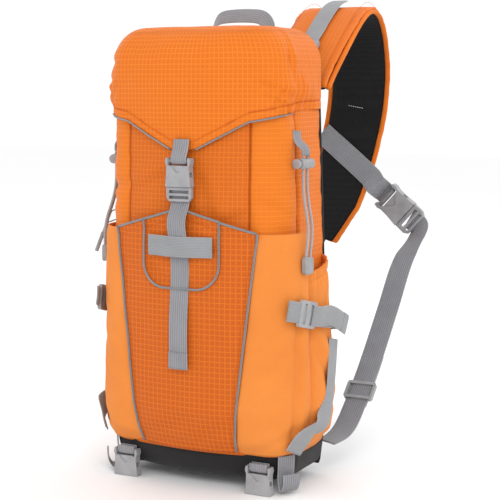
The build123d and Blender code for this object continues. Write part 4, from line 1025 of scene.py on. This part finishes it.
def make_flanks():
    columns, rows = 34, 96
    c, level = np.meshgrid(np.linspace(0, 1, columns), np.linspace(-431, -214.5, rows), indexing="ij")
    c, level = c.T, level.T
    # the flank's foot rises towards the side, as its hem does
    z = level + (6.0 * smooth_step(c, 0.45, 1.0)) * smooth_step(-level, 380, 431)
    lift = flank_lift(c, z)
    x0 = pocket_half(z) - 0.3
    ladder = np.linspace(0, 2, 241)
    points = np.empty(c.shape + (3,))
    for r in range(rows):
        xs = np.maximum.accumulate(hull(ladder, level[r, 0], 6.0)[:, 0])
        first = np.interp(x0[r, 0], xs, ladder)
        points[r] = hull(first + c[r] * (2.06 - first), z[r], lift[r])
    gap = np.minimum(np.minimum(c * 60, (1 - c) * 60), np.abs(-214.5 - z - 6) + 0.9)
    cloth = np.stack([c * 60, z, gap], -1)
    sheet_piece("right_flank_cloth", points, cloth, "flank_cloth", thickness=1.2, nodes=("right_flank",))
    left = mirrored(points)
    left[..., 2] += 0.0
    sheet_piece("left_flank_cloth", left, cloth * (-1, 1, 1), "flank_cloth", thickness=1.2, flip=True, nodes=("left_flank",))


make_front_pocket()
make_flanks()


# ---------------------------------------------------------------- side pockets
SIDE_TOP_Z, SIDE_FLOOR_Z = -256.0, -430.0


def side_pocket_points(seed, rows=100, columns=46):
    """The stretch pocket's cloth: from the flank's seam out and round to the back, gathered on top."""
    t, s = np.meshgrid(np.linspace(0, 1, columns), np.linspace(0, 1, rows), indexing="ij")
    t, s = t.T, s.T
    mouth = SIDE_TOP_Z + 9.0 * t + 4.0 * smooth_step(t, 0.75, 1.0)
    z = SIDE_FLOOR_Z + (mouth - SIDE_FLOOR_Z) * s
    low = smooth_step(s, 0.0, 0.09)
    bulge = np.interp(z, [-430, -418, -395, -350, -300, -266, -256, -244], [6, 13, 17.5, 16, 13.5, 13.0, 12.0, 13.0])
    shape = (1 - np.abs(2 * t - 1) ** 2.4) ** (1 / 2.0)
    front_y = -66.0 + 6.0 * smooth_step(s, 0.0, 0.6)
    front_y = front_y - 6.0 * (1 - smooth_step(s, 0.05, 0.4))
    y = front_y + (REAR_Y - 2.5 - front_y) * t
    where = np.stack([y, z, 0 * y], -1)
    gather = np.exp(-(mouth - z) / 15.0) * 1.0
    push = 1.5 * ripple(where, (16.0, 40.0, 1.0), seed) + 1.0 * ripple(where, (40.0, 15.0, 1.0), seed + 1)
    push += gather * (1.1 * np.sin(t * 62) + 0.6 * np.sin(t * 97 + 1) - 0.8) - 1.6 * np.exp(-(((mouth - z - 9) / 2.0) ** 2))
    push += crease(y, z, (-58, -318), (-24, -386), 5.0, 2.4) + crease(y, z, (-50, -300), (-16, -340), 5.0, 1.8)
    push += crease(y, z, (-34, -296), (-26, -262), 3.4, 1.8) + crease(y, z, (-50, -290), (-44, -262), 3.0, 1.4)
    push += crease(y, z, (-60, -404), (-22, -424), 5.0, 2.0) + crease(y, z, (-30, -360), (-12, -410), 5.0, 1.8)
    base = half_at(z) + 0.6
    x = base + (bulge * low**0.5 + push * smooth_step(shape, 0.1, 0.7)) * shape + 0.3
    z = z - 3.5 * shape * (1 - low)
    points = np.stack([x, y, z], -1)
    gap = np.minimum(np.minimum(t, 1 - t) * 70, np.abs(mouth - z - 9) + 0.7)
    cloth = np.stack([t * 72, z, gap], -1)
    # the hem turns in over the mouth
    lips, lip_cloth = [], []
    for drop, inward in ((0.6, 0.9), (0.0, 2.0), (-3.0, 2.4), (-8.0, 2.4)):
        lip = points[-1].copy()
        lip[:, 0] -= inward * np.sin(np.clip(t[-1], 0.03, 0.97) * math.pi) ** 0.5
        lip[:, 2] += drop
        lips.append(lip)
        mark = cloth[-1].copy()
        mark[:, 1] += 2 + abs(drop)
        lip_cloth.append(mark)
    return np.concatenate([points, lips]), np.concatenate([cloth, lip_cloth])


def make_side_pockets():
    points, cloth = side_pocket_points(31)
    sheet_piece("right_pocket_cloth", points, cloth, "flank_cloth", thickness=1.0, nodes=("right_side_pocket",))
    points, cloth = side_pocket_points(41)
    sheet_piece("left_pocket_cloth", mirrored(points), cloth * (-1, 1, 1), "flank_cloth", thickness=1.0, flip=True, nodes=("left_side_pocket",))


make_side_pockets()


# ---------------------------------------------------------------- moulded fittings
BODY_OF = {n: body for body, ns in frame["record"]["behaviour"]["bodies"].items() for n in ns}


def eased(node, finish, radius=0.45, angle=32.0):
    """The fitting with its mould's rounded edges, in place of its plain solid."""
    mesh = NODES[node].data.copy()
    work = bmesh.new()
    work.from_mesh(mesh)
    bmesh.ops.remove_doubles(work, verts=work.verts, dist=2e-6)
    flat = math.radians(0.6)
    bmesh.ops.dissolve_limit(work, angle_limit=flat, verts=work.verts, edges=work.edges)
    work.to_mesh(mesh)
    work.free()
    for name in ("custom_normal", "sharp_edge"):
        if name in mesh.attributes:
            mesh.attributes.remove(mesh.attributes[name])
    mesh.materials.clear()
    mesh.materials.append(FINISHES[finish])
    mesh.shade_smooth()
    piece = bpy.data.objects.new(f"{node}_moulding", mesh)
    bpy.context.scene.collection.objects.link(piece)
    edge = piece.modifiers.new("edges", "BEVEL")
    edge.width = radius * MM
    edge.segments = 2
    edge.limit_method = "ANGLE"
    edge.angle_limit = math.radians(angle)
    edge.harden_normals = True
    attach(piece, BODY_OF[node])
    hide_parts(node)
    return piece


for node in ("front_buckle_female", "front_buckle_male", "right_accessory_buckle", "left_accessory_buckle"):
    eased(node, "plastic", 0.5)
for node in ("strap_buckle_female", "strap_buckle_male", "triglide", "ladder_locks", "load_lifter_lock"):
    eased(node, "plastic", 0.5)
for place in ("front", "strap"):
    for side in ("right", "left"):
        eased(f"{place}_buckle_{side}_arm", "plastic", 0.3)
for side in ("right", "left"):
    eased(f"{side}_cord_lock", "plastic", 0.3)
    eased(f"{side}_lock_plunger", "plastic", 0.5)
    eased(f"{side}_cord_end", "rubber", 0.9)
for place in ("upper", "lower"):
    eased(f"{place}_slider", "dark_plastic", 0.25)
    eased(f"{place}_zip_pull", "rubber", 0.3)
eased("frame_sheet", "dark_plastic", 0.3)
eased("base_foam", "foam", 1.2)

# ---------------------------------------------------------------- webbing
WEBBING = 20.0
BUCKLE_Y = -(float(depth_at(-171)) + 3.5 + 1.0 + 4.3)
BUCKLE_MOUTH_Z = -171.0
BAR_Z, BAR_REACH = 24.5, 2.6


def bar_loop(lead, bar_z=BAR_Z, bar_reach=BAR_REACH):
    """The bend of a webbing loop round a buckle's bar, in the buckle's own place."""
    bend = [(0, -bar_reach, bar_z + lead)]
    for angle in (0, 45, 90, 135, 180):
        turn = math.radians(angle)
        bend.append((0, -bar_reach * math.cos(turn), bar_z - bar_reach * math.sin(turn)))
    return np.array(bend + [(0, bar_reach, bar_z + lead)])


def hull_frame(u, z, offset):
    """A spot on the outline with its directions along the cloth and away from it."""
    spot = hull(u, z, offset)
    ahead = hull(u + 0.004, z, offset) - hull(u - 0.004, z, offset)
    along = unit(ahead * (1, 1, 0))
    return spot, along, np.array([along[1], -along[0], 0.0])


def make_front_webbing():
    place = np.array([0, BUCKLE_Y, BUCKLE_MOUTH_Z])
    start = [(0, -116.6, -126), (0, -118.6, -135)]
    tape("lid_tab_webbing", np.concatenate([start, bar_loop(3.0) + place]), (1, 0, 0), 17.0, smooth=False,
         count=44, body="lid", nodes=("lid_tab",))
    lift = 2.7
    faces = {z: -(float(depth_at(z)) + POCKET_LIFT) for z in (-198, -226, -228, -347, -300)}
    route = [
        (0, BUCKLE_Y + 0.9, -174), (0, BUCKLE_Y + 1.0, -186), (0, BUCKLE_Y - 1.5, -192),
        (0, faces[-198] - lift - 3.0, -198), (0, faces[-226] - lift, WAIST_Z),
        (0, faces[-300] - lift - 0.7, -300), (0, faces[-347] - lift, STRAP_FOOT_Z),
    ]
    tape("front_webbing", route, (1, 0, 0), WEBBING, count=110, nodes=("front_strap",))
    hem_y = faces[-347] - lift - 1.5
    hem = [(0, hem_y + 0.3, -330.5), (0, hem_y - 0.1, -334), (0, hem_y - 0.1, -343), (0, hem_y - 0.1, STRAP_FOOT_Z)]
    tape("front_webbing_hem", hem, (1, 0, 0), 20.6, thickness=1.6, nodes=("front_strap",))
    x = np.linspace(-9.2, 9.2, 30)
    line = np.stack([x, np.full(30, hem_y - 1.0), np.full(30, -335.5)], 1)
    join_pieces("front_webbing_stitches", stitch_groups(line, 2.6, 2.0), "grey_thread")
    face, half = faces[-228], 35.0
    keeper = [(-half, face + 0.6, -228), (-half * 0.75, face - 0.9, -228), (-12.5, face - 4.9, -228),
              (12.5, face - 4.9, -228), (half * 0.75, face - 0.9, -228), (half, face + 0.6, -228)]
    tape("keeper_band", keeper, (0, 0, 1), WEBBING, count=70, finish="light_webbing", nodes=("strap_keeper",))


def make_side_webbing():
    tilt = math.radians(14)
    spot, along, away = hull_frame(1.8, -292.0, 15.3)
    t = unit(along * math.cos(tilt) - np.array([0, 0, math.sin(tilt)]))
    across = np.cross(away, t)
    out = float(half_at(-312)) + 16.4
    band = [
        spot - 28 * t - 2.4 * away, spot - 20 * t - 0.6 * away, spot - 10 * t + 0.5 * away, spot + 0.2 * away,
        spot + 10 * t + 0.2 * away, spot + 15.5 * t + 0.3 * away, (out + 1.4, -41, -300), (out + 0.6, -13, -306),
        (out - 5, -4.8, -308), (out - 12, -4.8, -309),
    ]
    band_turns = [across] * 6 + [(0, 0, 1)] * 4
    tail = [spot + 6 * t + 1.6 * away, spot + 15 * t + 2.6 * away]
    tail += [(out + 4.5, -35, -299), (out + 6.5, -21, -305), (out + 8.5, -8, -312)]
    tail_turns = [across] * 2 + [(0, 0.3, 1)] * 3
    pole = [
        (119.4, -24, -324), (121, -32, -358), (121.4, -41, -386),
        hull(1.9, -404, 18.5), hull(1.7, -414, 15.4), hull(1.6, -426, 12.6),
    ]
    _, foot_along, _ = hull_frame(1.6, -418, 12)
    pole_turns = [(0, 1, 0.3)] * 3 + [(0.15, 0.95, 0.2), foot_along, foot_along]
    for word, mirror_of in (("right", np.array), ("left", mirrored)):
        for name, route, turns, finish, node in (
            ("compression_webbing", band, band_turns, "light_webbing", "compression_straps"),
            ("compression_tail", tail, tail_turns, "light_webbing", "compression_straps"),
            ("pole_webbing", pole, pole_turns, "light_webbing", "pole_straps"),
        ):
            tape(f"{word}_{name}", mirror_of(np.array(route, float)), mirror_of(np.array(turns, float)),
                 WEBBING, finish=finish, curl=0.5, nodes=(node,))
        end = np.array([tail[-1], tail[-2]], float)
        run = unit(end[1] - end[0])
        lip = np.array([end[0] + (0.9, -0.3, 0), end[0] + run * 5 + (0.9, -0.3, 0), end[0] + run * 9 + (0.7, -0.3, 0)])
        tape(f"{word}_tail_hem", mirror_of(lip), mirror_of(np.array([(0, 0.3, 1)] * 3, float)), 20.4,
             finish="light_webbing", nodes=("compression_straps",))


def make_haul_loop():
    half, flat_y, top = 31.0, 0.0, -5.0
    lean = (0, 0.55, 0.84)
    right = [
        ((half, flat_y, -70), (1, 0, 0)), ((half, flat_y, -34), (1, 0, 0)), ((half, flat_y + 5, -24), (0.7, 0.7, 0)),
        ((half - 1, SETBACK, -14), lean), ((half * 0.82, SETBACK, -8), lean), ((half * 0.45, SETBACK, top), lean),
    ]
    left = [((-half, flat_y, -70), (-1, 0, 0)), ((-half, flat_y, -34), (-1, 0, 0)), ((-half, flat_y + 5, -24), (-0.7, 0.7, 0))]
    left += [((-p[0], p[1], p[2]), a) for p, a in right[3:]]
    route = right + left[::-1]
    tape("haul_webbing", [p for p, _ in route], np.array([a for _, a in route], float), 17.0, thickness=1.7,
         count=110, nodes=("haul_loop",))


def make_base_webbing():
    spot = hull(1.12, -437.5, 5.7)
    place = np.array([spot[0], spot[1], -468.0])
    loop = bar_loop(6.0) + place
    root, along, away = hull_frame(1.6, -431.0, 2.0)
    drops = [(0, 0), (-1, -17), (1, -31), (4, -33.5), (7, -31), (10, -16)]
    fold = np.array([root + away * out + np.array([0, 0, down]) for out, down in drops])
    for word, turned in (("right", np.array), ("left", mirrored)):
        tape(f"{word}_buckle_webbing", turned(loop), (1, 0, 0), 19.0, smooth=False, count=34, nodes=("base_webbing",))
        tape(f"{word}_foot_webbing", turned(fold), turned(along), 19.0, count=44, nodes=("base_webbing",))
        foot = np.array([105.6, -63.5, -142.0])
        tab = np.array([hull(1.9, -118, 3.0), hull(1.9, -128, 4.5), foot + (0, 0, 6), foot + (0, 0, 0.4)])
        tape(f"{word}_cord_tab", turned(tab), turned(np.array((0.3, 0.954, 0.0))), 11.0, thickness=3.0, curl=0.4,
             nodes=("cord_tabs",))


make_front_webbing()
make_side_webbing()
make_haul_loop()
make_base_webbing()


# ---------------------------------------------------------------- drawcords
CORD_GAP = 5.8
CORD_SIDE = np.array([0.3, 0.954, 0.0])
CORD_ROUTE = np.array([
    (105.6, -63.5, -142), (105.4, -63.4, -160), (106.0, -63.9, -178), (109.6, -65.8, -194),
    (113.9, -69.4, -209), (114.6, -72.6, -223), (113.8, -74.0, -234), (113.4, -74.2, -240.5),
])
CORD_WIDE = 0.0026


def curve_length(piece):
    mesh = bpy.data.meshes.new_from_object(piece.evaluated_get(bpy.context.evaluated_depsgraph_get()))
    points = [v.co.copy() for v in mesh.vertices]
    bpy.data.meshes.remove(mesh)
    return sum((b - a).length for a, b in zip(points, points[1:]))


def make_cord(word, turned):
    side = CORD_SIDE * CORD_GAP / 2
    route = np.concatenate([CORD_ROUTE - side, (CORD_ROUTE + side)[::-1]])
    points = placed(turned(route))
    data = bpy.data.curves.new(f"{word}_cord", "CURVE")
    data.dimensions = "3D"
    line = data.splines.new("NURBS")
    line.points.add(len(points) - 1)
    for spot, point in zip(line.points, points):
        spot.co = (*point, 1)
    line.order_u = 3
    line.use_endpoint_u = True
    line.resolution_u = 12
    piece = bpy.data.objects.new(f"{word}_cord", data)
    bpy.context.scene.collection.objects.link(piece)
    bpy.context.view_layer.update()
    length = curve_length(piece)
    data.bevel_depth = CORD_WIDE / 2
    data.bevel_resolution = 4
    data.use_fill_caps = True
    data.materials.append(FINISHES["cord_braid"])
    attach(piece, "sack")
    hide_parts(f"{word}_drawcord")


make_cord("right", np.array)
make_cord("left", mirrored)


# ---------------------------------------------------------------- shoulder strap
PAD_ROUTE = np.array([
    (58, 5, -80), (58, 30, -58), (58, 60, -34), (56, 100, -8), (54, 150, 8), (52, 190, -14),
    (49, 214, -52), (42, 229, -96), (34, 226, -146), (25, 206, -200), (12, 182, -252),
], float)
PAD_WIDTHS = [80, 80, 80, 80, 80, 76, 74, 74, 74, 72, 50]


def pad_frames(shares):
    shares = np.atleast_1d(shares)
    spot = curve_through(PAD_ROUTE, shares=shares)
    step = 1e-3
    ahead = curve_through(PAD_ROUTE, shares=np.clip(shares + step, 0, 1))
    behind = curve_through(PAD_ROUTE, shares=np.clip(shares - step, 0, 1))
    along = unit(ahead - behind)
    side = unit(np.array([1.0, 0, 0]) - along * along[:, :1])
    return spot, along, side, np.cross(side, along)


def pad_width(shares):
    return np.interp(np.asarray(shares) * 10, range(11), PAD_WIDTHS)


def pad_spots(shares, sideways, lift):
    spot, _, side, out = pad_frames(shares)
    return spot + side * np.reshape(sideways, (-1, 1)) + out * np.reshape(lift, (-1, 1))


def stuffed(name, node, finish, voxel=5.0, pressure=4.0, cap=6.0, shrink=1.2):
    """A padded piece: the node's shape, remeshed, a little smaller, then swelled as sewn cloth."""
    source = NODES[node]
    piece = bpy.data.objects.new(name, source.data.copy())
    bpy.context.scene.collection.objects.link(piece)
    coarse = piece.modifiers.new("even", "REMESH")
    coarse.mode = "VOXEL"
    coarse.voxel_size = voxel * MM
    bpy.context.view_layer.update()
    mesh = bpy.data.meshes.new_from_object(piece.evaluated_get(bpy.context.evaluated_depsgraph_get()))
    piece.modifiers.clear()
    piece.data = mesh
    count = len(mesh.vertices)
    co, normal = np.empty(count * 3), np.empty(count * 3)
    mesh.vertices.foreach_get("co", co)
    mesh.vertices.foreach_get("normal", normal)
    rest = co.reshape(-1, 3) - normal.reshape(-1, 3) * shrink * MM
    mesh.vertices.foreach_set("co", rest.ravel())
    mesh.update()
    scene = bpy.context.scene
    cloth = piece.modifiers.new("swell", "CLOTH")
    cloth.settings.quality = 6
    cloth.settings.use_pressure = True
    cloth.settings.uniform_pressure_force = pressure
    cloth.settings.tension_stiffness = 12
    cloth.settings.compression_stiffness = 12
    cloth.settings.bending_stiffness = 0.4
    cloth.settings.effector_weights.gravity = 0
    for step in range(1, 21):
        scene.frame_set(step)
    done = piece.evaluated_get(bpy.context.evaluated_depsgraph_get()).data
    moved = np.empty(count * 3)
    done.vertices.foreach_get("co", moved)
    shift = moved.reshape(-1, 3) - rest
    far = np.linalg.norm(shift, axis=1, keepdims=True)
    shift *= np.minimum(1, cap * MM / np.maximum(far, 1e-9))
    piece.modifiers.remove(cloth)
    mesh.vertices.foreach_set("co", (rest + shift).ravel())
    mesh.update()
    scene.frame_set(1)
    mesh.materials.clear()
    mesh.materials.append(FINISHES[finish])
    mesh.shade_smooth()
    finer = piece.modifiers.new("finer", "SUBSURF")
    finer.levels = finer.render_levels = 1
    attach(piece, BODY_OF[node])
    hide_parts(node)
    return piece


def cloth_on(piece, place_of):
    """Gives a remeshed piece its place in its cloth, from its points in pattern millimetres."""
    count = len(piece.data.vertices)
    co = np.empty(count * 3)
    piece.data.vertices.foreach_get("co", co)
    points = co.reshape(-1, 3) / MM + (0, SETBACK, 0)
    holder = piece.data.attributes.new("cloth", "FLOAT_VECTOR", "POINT")
    holder.data.foreach_set("vector", np.asarray(place_of(points), np.float32).ravel())


def strap_cloth_place(points):
    shares = np.linspace(0, 1, 240)
    spot, _, side, _ = pad_frames(shares)
    nearest = np.argmin(((points[:, None] - spot[None]) ** 2).sum(-1), axis=1)
    across = ((points - spot[nearest]) * side[nearest]).sum(1)
    gap = np.abs(pad_width(shares[nearest]) / 2 - 8 - np.abs(across))
    return np.stack([across, nearest * 2.0, gap], 1)


def make_shoulder_strap():
    pad = stuffed("strap_padding", "shoulder_strap_pad", "strap_cloth", voxel=4.0, cap=1.7, shrink=1.5)
    cloth_on(pad, strap_cloth_place)
    shares = np.linspace(0.015, 0.995, 150)
    lining = pad_spots(shares, 0, -4.6)
    tape("strap_lining", lining, (1, 0, 0), pad_width(shares) - 11, thickness=3.6, count=150, curl=-0.8,
         finish="black_mesh", nodes=("shoulder_strap_lining",))
    for side, word in ((1, "outer"), (-1, "inner")):
        wobble = 0.35 * ripple(np.stack([shares * 480, 0 * shares, 0 * shares], 1), 11.0, 51 + side)
        path = pad_spots(shares, side * (pad_width(shares) / 2 - 2.6 + wobble), -4.0 + wobble)
        tube(f"strap_binding_{word}", path, 2.7 + 0.25 * wobble, "binding_cloth", sides=12, flat=0.85)
        path = pad_spots(shares, side * (pad_width(shares) / 2 - 8.5), 5.6)
        join_pieces(f"strap_stitches_{word}", stitch_groups(path), "orange_thread")
    x = np.linspace(-10, 10, 30)
    bar = pad_spots(np.full(30, 0.655), x, -7.4)
    join_pieces("lining_bar_stitches", stitch_groups(bar, 2.7, 1.9, 0.4), "white_thread")


STRAP_X = np.array([0.674, 0, 0.738])
STRAP_Z = np.array([-0.738, -0.032, 0.674])
STRAP_Y = np.cross(STRAP_Z, STRAP_X)
STRAP_ORIGIN = np.array([103.5, 224, -222.5])


def strap_placed(points):
    points = np.atleast_2d(points)
    return STRAP_ORIGIN + points[:, :1] * STRAP_X + points[:, 1:2] * STRAP_Y + points[:, 2:] * STRAP_Z


def make_strap_webbing():
    wide = 25.0
    rest = -5.25 - 0.3 - 1.6 - 0.7
    shares = 0.735 + 0.018 * np.arange(6)
    band = pad_spots(shares, 15.0 * np.arange(6) - 36, rest)
    _, along, side, _ = pad_frames(shares)
    turns = side * 0.35 - along * 0.94
    loop = bar_loop(5.0, bar_z=24.5 * 1.25, bar_reach=1.6 * 1.25 + 1.0)
    bend = strap_placed(np.concatenate([[loop[-1] + (0, 0, 1.0)], loop[1:-1][::-1]]))
    edge = pad_spots(0.838, 45, rest + 2)
    route = np.concatenate([band, edge, bend])
    sides = np.concatenate([turns, turns[-1:], np.tile(STRAP_X, (len(bend), 1))])
    tape("stabiliser_band_webbing", route, sides, wide, count=90, smooth=False, nodes=("stabiliser_band",))
    points = np.array([
        strap_placed((0, 0.4, -6.0))[0], strap_placed((0, 0, -22.5))[0], (119, 220, -246), (114, 200, -264),
        (111, 165, -304), (110, 130, -344), (110, 92, -381), (109, 55, -414), (106, 24, -434), (100, 4, -438),
    ])
    turns = np.array([STRAP_X, STRAP_X, (0.8, 0.1, 0.55), (0.97, 0.1, 0.2)] + [(1, 0, 0)] * 6)
    tape("stabiliser_long_webbing", points, turns, wide, count=150, curl=0.6, nodes=("stabiliser_webbing",))
    # the loose end that comes back out of the slide adjuster
    path = curve_through(points, count=200)[118:160]
    lift = np.cross(unit(np.gradient(path, axis=0)), (1, 0, 0)) * -1
    tape("stabiliser_fold", path + lift * 1.9, (1, 0, 0), wide - 0.5, count=30, finish="webbing", nodes=("stabiliser_webbing",))
    tail = pad_spots(1.0, 0, 0)[0] + (-1.5, -2.5, -3)
    root = pad_spots(0.965, 0, 2.0)[0]
    low = [root, tail, (-18, 140, -296), (-58, 78, -358), (-84, 30, -412), (-95, 4, -434)]
    tape("lower_webbing", low, (1, 0, 0), WEBBING, count=90, curl=0.4, nodes=("lower_strap_webbing",))
    lift = 6.25
    spot, along, side, out = (a[0] for a in pad_frames(0.112))
    centre = spot + out * (lift + 3.4)
    upper = [centre - along * 6, centre + along * 6, centre + along * 12.5 - out * 0.5]
    upper += list(pad_spots(np.array([0.18, 0.22, 0.26, 0.3, 0.34]), 0, lift + 1.6))
    tape("load_lifter_upper", upper, (1, 0, 0), WEBBING, count=60, finish="light_webbing", nodes=("load_lifter_webbing",))
    lower = [(57, 0.1, -48), (57, 1.0, -37), (57.5, 4.0, -32), (58, 8.0, -33), centre - along * 12.5, centre - along * 4]
    tape("load_lifter_lower", lower, (1, 0, 0), WEBBING, count=40, finish="light_webbing", nodes=("load_lifter_webbing",))


make_shoulder_strap()
make_strap_webbing()


# ---------------------------------------------------------------- back and inside
def make_back():
    columns, rows = 76, 160
    x, z = np.meshgrid(np.linspace(-1, 1, columns), np.linspace(-457.5, -34.5, rows))
    half = np.interp(z, [-458, -388, -44, -34], [95, 103.5, 91, 80])
    x = x * half
    edge = np.minimum(half - np.abs(x), np.minimum(z + 458, -34 - z))
    y = -1.0 + 0.8 * smooth_step(edge, 0, 9) - 0.5 + 0.35 * ripple(np.stack([x, z, 0 * x], -1), 24.0, 61)
    points = np.stack([x, y, z], -1)
    cloth = np.stack([x, z, edge], -1)
    sheet_piece("back_cloth", points, cloth, "black_mesh", thickness=4.4, flip=True, nodes=("back_panel",))
    right = [(95, -457), (103.5, -388), (91, -44), (80, -34.5)]
    outline = [(-95, -457)] + right + [(-x, z) for x, z in right[::-1]]
    path = []
    for (x0, z0), (x1, z1) in zip(outline, outline[1:]):
        for s in np.linspace(0, 1, 24)[:-1]:
            path.append((x0 + (x1 - x0) * s, -3.4, z0 + (z1 - z0) * s))
    path.append(path[0])
    tube("back_binding", path, 1.9, "black_cloth", sides=10)
    stuffed("back_padding", "back_pads", "black_mesh", cap=2.6, shrink=1.4)
    stuffed("lumbar_padding", "lumbar_pad", "black_mesh", cap=2.6, shrink=1.4)
    x, z = np.meshgrid(np.linspace(-70, 70, 50), np.linspace(-426, -136, 70))
    top = smooth_step(z, -150, -136)
    y = -8.9 - 1.6 * np.cos(x / 70 * math.pi / 2) * (0.5 + 0.5 * np.sin((z + 426) / 290 * math.pi)) - 0.5 * top * np.sin(x / 2.2)
    cloth = np.stack([x, z, 70 - np.abs(x)], -1)
    sheet_piece("sleeve_cloth", np.stack([x, y, z], -1), cloth, "grey_lining", thickness=0.8, nodes=("hydration_sleeve",))


def make_zip():
    """The tape and the coil of the side zipper."""
    z = np.linspace(-253, -114, 120)
    x = -(np.interp(z, LEVEL_Z, LEVEL_HALF) + 1.8)
    y = -48.0
    rows = np.linspace(-5.5, 5.5, 9)
    points = np.stack(np.broadcast_arrays(x[:, None] - 0.2, y + rows[None, :], z[:, None]), -1)
    cloth = np.stack(np.broadcast_arrays(rows[None, :], z[:, None], 5.5 - np.abs(rows[None, :])), -1)
    sheet_piece("zip_tape", points, cloth, "black_cloth", thickness=0.8, flip=True, nodes=("side_zipper",))
    turns = 100
    turn = np.linspace(0, turns * 2 * math.pi, turns * 8)
    run = np.linspace(0, 1, len(turn))
    height = -252 + 137 * run
    wall = -(np.interp(height, LEVEL_Z, LEVEL_HALF) + 1.9)
    path = np.stack([wall - 0.45 + 0.55 * np.cos(turn), y + 1.9 * np.sin(turn), height], 1)
    tube("zip_coil", path, 0.33, "dark_plastic", sides=5, nodes=("side_zipper",))


make_back()
make_zip()
